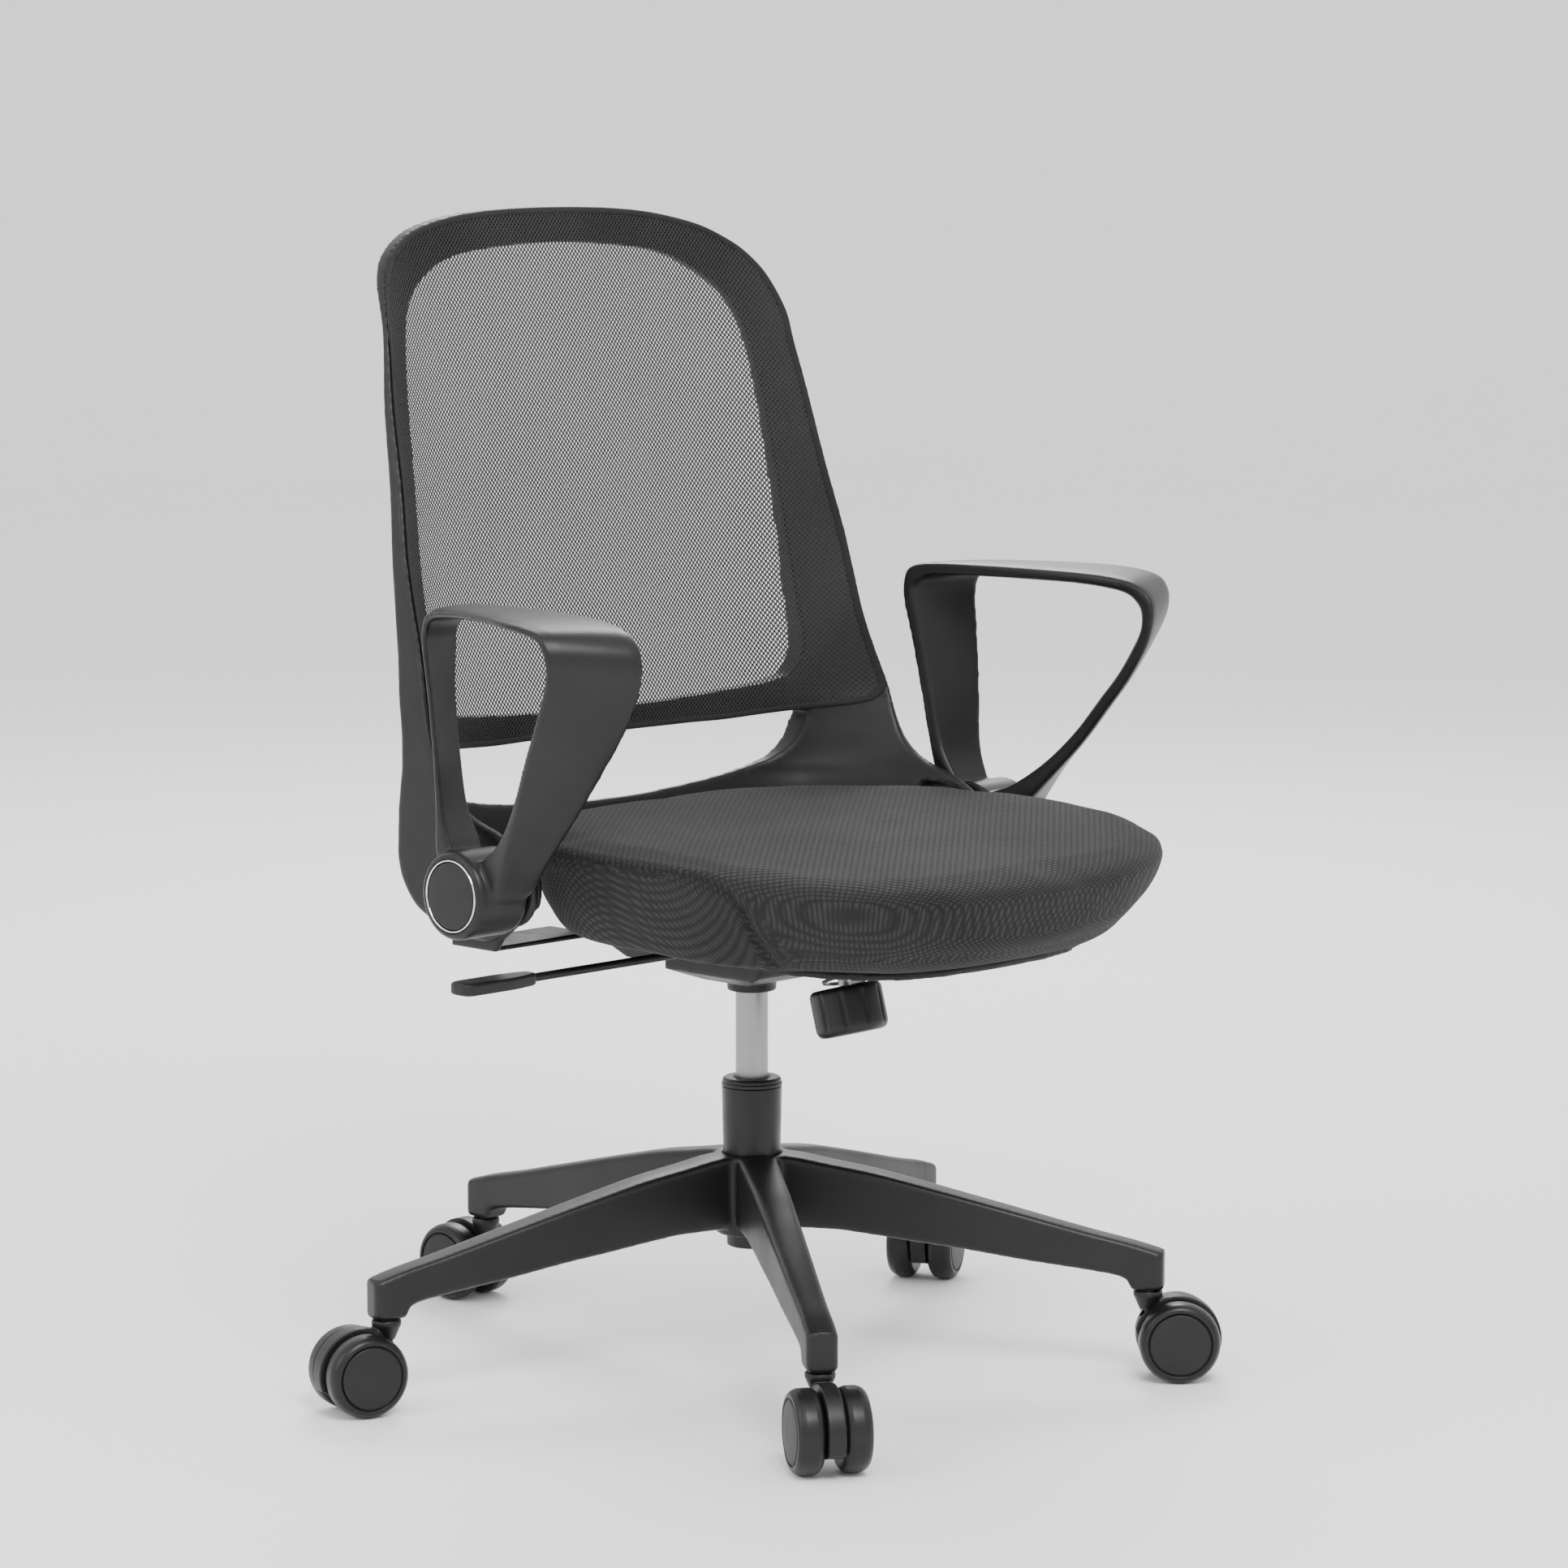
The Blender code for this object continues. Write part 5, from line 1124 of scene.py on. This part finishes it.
for q in range(len(pts2)):
    ring = []
    for w, lift in HEM:
        x, z = pts2[q] + inw[q] * w
        ring.append((x, float(net_y(x, z)) - lift, z - DROP))
    rings.append(ring)
hem = add("back_hem", loft(rings, closed=True), MAT["hem"], 50)
extra(hem, "back_mesh")


# ---------------------------------------------------------------- arms
def arm_ring_points(s, row):
    xi, yo, zo, yn, zn, xo, yp, zp, yq, zq = row
    a = Vector((s * xi, yo, zo))
    b = Vector((s * xi, yn, zn))
    c = Vector((s * xo, yq, zq))
    d = Vector((s * xo, yp, zp))
    crown_ = ((a - b) + (d - c)).normalized() * 0.0016
    pts = [a.lerp(b, 0.5), a.lerp(b, 0.28), a.lerp(b, 0.08).lerp(d, 0.01), a.lerp(d, 0.05)]
    for t in (0.14, 0.26, 0.38, 0.5, 0.62, 0.74, 0.86):
        pts.append(a.lerp(d, t) + crown_ * (1 - (2 * t - 1) ** 2) ** 0.7)
    pts += [d.lerp(a, 0.05), d.lerp(c, 0.08), d.lerp(c, 0.30), d.lerp(c, 0.55), c.lerp(d, 0.22),
        c.lerp(b, 0.05)]
    for t in (0.14, 0.30, 0.5, 0.70, 0.86):
        pts.append(c.lerp(b, t))
    pts += [b.lerp(c, 0.05), b.lerp(a, 0.22)]
    return pts


stations = dense(ARM_STATIONS, 6)
for side, s in SIDES:
    origin = Vector((s * HUB_X_OUT, HUB_Y, HUB_Z))
    arm = add("arm_look_" + side, loft([arm_ring_points(s, row) for row in stations]), MAT["arm"], None)
    length = HUB_X_OUT - HUB_X_IN
    cut(arm, revolve([(0.0, -length), (HUB_R - 0.0020, -length), (HUB_R, -length + 0.0020),
        (HUB_R, -0.0040), (HUB_R - 0.0018, -0.0008), (HUB_R - 0.0040, 0.0), (0.0, 0.0)], 96, origin,
        (s, 0, 0)), "UNION")
    melt(arm, 0.0013, 9)
    cut(arm, revolve(bar(CAP_DISC_R + 0.0029, -CAP_DEPTH, 0.01), 128, origin, (s, 0, 0)))
    cut(arm, revolve([(0.0, -0.06), (PIVOT_R + 0.0002, -0.06), (PIVOT_R + 0.0002, -0.0125),
        (0.0100, -0.0125), (0.0100, 0.01), (0.0, 0.01)], 64, origin, (s, 0, 0)))
    stand_for(lower(arm), "arm_" + side)
    flr = -CAP_DEPTH + FIT
    turned("arm_ring_look_" + side, [(CAP_DISC_R + 0.0006, flr), (CAP_DISC_R + 0.0022, flr),
        (CAP_DISC_R + 0.0022, -0.0003), (CAP_DISC_R + 0.0014, 0.0005), (CAP_DISC_R + 0.0006, -0.0003)],
        MAT["chrome"], "arm_ring_" + side, origin, (s, 0, 0), 0.0006, 128)
    turned("arm_cap_look_" + side, [(0.0, flr), (CAP_DISC_R, flr), (CAP_DISC_R, -0.0006),
        (CAP_DISC_R - 0.0010, 0.0), (0.0150, 0.0004), (0.0, 0.0006)], MAT["shell"], "arm_cap_" + side,
        origin, (s, 0, 0), 0.0005, 128)

# ---------------------------------------------------------------- casters
for tag, turn, trail in LEGS:
    stem = heading(turn) * STEM_CIRCLE_R
    d = Vector((math.cos(math.radians(trail)), math.sin(math.radians(trail)), 0.0))
    across = Vector((-d.y, d.x, 0.0))
    axle = stem + d * CASTER_TRAIL
    axle.z = DROP + WHEEL_R
    hood = WHEEL_R + 0.0022
    outline = arc(0.0, 0.0, hood, 168, -20, 44) + [(hood * 0.80, -0.0135), (0.0100, -0.0185),
        (-0.0080, -0.0185), (-hood * 0.80, -0.0135)]
    cheeks = [[axle + d * p + across * w + Vector((0, 0, q)) for p, q in outline]
              for w in (-WEB_HALF, WEB_HALF)]
    house = add("caster_look_" + tag, loft(cheeks), MAT["nylon"], None)
    top, lowz = SOCKET_Z - 0.0006, DROP + WHEEL_R
    cut(house, revolve([(0.0, lowz + 0.0100), (WEB_HALF * 0.85, lowz + 0.0100),
        (WEB_HALF * 0.85, lowz + 0.0200), (BOSS_R, lowz + 0.0335), (BOSS_R, top - 0.0010),
        (BOSS_R - 0.0010, top), (0.0, top)], 48, stem), "UNION")
    cut(house, revolve(bar(STEM_R + FIT, 0.05, top + 0.02), 32, stem))
    melt(house, 0.0008, 4)
    stand_for(lower(house), "caster_housing_" + tag)
    pin_low = SOCKET_Z - 0.0115
    turned("caster_stem_look_" + tag, [(0.0, pin_low), (STEM_R, pin_low), (STEM_R, STEM_TOP - 0.0024),
        (STEM_R - 0.0012, STEM_TOP), (0.0, STEM_TOP)], MAT["steel"], "caster_stem_" + tag, stem, (0, 0, 1),
        0.0003, 48)
    h = WHEEL_WIDTH / 2
    R = WHEEL_R
    wheel = [(AXLE_R + 0.0001, -h), (R - 0.0060, -h), (R - 0.0042, -h + 0.0002), (R - 0.0012, -h + 0.0026),
        (R, -h + 0.0062), (R, h - 0.0068), (R - 0.0009, h - 0.0036), (R - 0.0024, h - 0.0014),
        (R - 0.0040, h - 0.0002), (R - 0.0056, h), (R - 0.0064, h - 0.0002), (R - 0.0066, h - 0.0015),
        (R - 0.0075, h - 0.0018), (0.0, h - 0.0018), (0.0, h - 0.0040), (AXLE_R + 0.0001, h - 0.0040)]
    for part, s in (("a", 1.0), ("b", -1.0)):
        p = axle + across * (s * WHEEL_OFFSET)
        turned("wheel_look_%s_%s" % (part, tag), wheel, MAT["wheel"], "wheel_%s_%s" % (part, tag), p,
            across * s, 0.0005, 96)
        disc = [(0.0, h - 0.0017), (R - 0.0077, h - 0.0017), (R - 0.0077, h - 0.0006),
            (R - 0.0084, h + 0.0001), (0.0120, h + 0.0004), (0.0, h + 0.0005)]
        cap = lower(add("wheel_cap_%s_%s" % (part, tag), revolve(fillet(disc, 0.0004), 64, p, across * s),
            MAT["shell"], 40))
        extra(cap, "wheel_%s_%s" % (part, tag))

for ob in TABLE_PIECES:
    ob.data.transform(Matrix.Translation((0, COLUMN_Y, 0)))

# ---------------------------------------------------------------- floor, light, camera
floor_mat = Nodes("floor_paper", (0.80, 0.80, 0.80), 0.75)
floor_mat.tint(floor_mat.scaled(floor_mat.noise(1.5, 3.0), 0.0, 1.0), (0.89, 0.89, 0.89),
    (0.90, 0.90, 0.90))
bowl = [(0.0, -0.0002), (9.0, -0.0002)] + [(9.0 + 5.0 * math.sin(a), 5.0 - 5.0 * math.cos(a) - 0.0002)
    for a in np.radians(np.arange(5, 91, 5))]
bowl += [(14.0, 6.5), (14.2, 6.5), (14.2, -0.2), (0.0, -0.2)]
ground = add("floor", revolve(bowl, 96), floor_mat.mat, 60)


def area_light(name, place, size, power, at=(0, 0, 0.4)):
    data = bpy.data.lights.new(name, "AREA")
    data.shape = "DISK"
    data.size = size
    data.energy = power
    ob = bpy.data.objects.new(name, data)
    bpy.context.scene.collection.objects.link(ob)
    ob.location = place
    ob.rotation_euler = (Vector(at) - Vector(place)).to_track_quat("-Z", "Y").to_euler()


area_light("key", (-1.4, -2.4, 3.2), 1.6, 130)
area_light("fill", (-3.2, 0.8, 2.0), 2.4, 40)
area_light("rim", (2.2, 2.0, 2.6), 1.6, 80)
world = bpy.data.worlds.new("studio")
bpy.context.scene.world = world
world.use_nodes = True
world.node_tree.nodes["Background"].inputs["Color"].default_value = (1.0, 1.0, 1.0, 1.0)
world.node_tree.nodes["Background"].inputs["Strength"].default_value = 1.5

PSI, PITCHED = math.radians(45.488), 0.1289
f = Vector((math.sin(PSI) * math.cos(PITCHED), math.cos(PSI) * math.cos(PITCHED), -math.sin(PITCHED)))
r = Vector((math.cos(PSI), -math.sin(PSI), 0.0))
u = r.cross(f)
cam = bpy.data.cameras.new("camera")
cam.lens = 115.85
cam.sensor_width = 36.0
eye = bpy.data.objects.new("camera", cam)
bpy.context.scene.collection.objects.link(eye)
turn = Matrix((r, u, -f)).transposed().to_4x4()
turn.translation = Vector((-2.6958, -2.6848 + COLUMN_Y, 0.9433))
eye.matrix_world = turn
bpy.context.scene.camera = eye
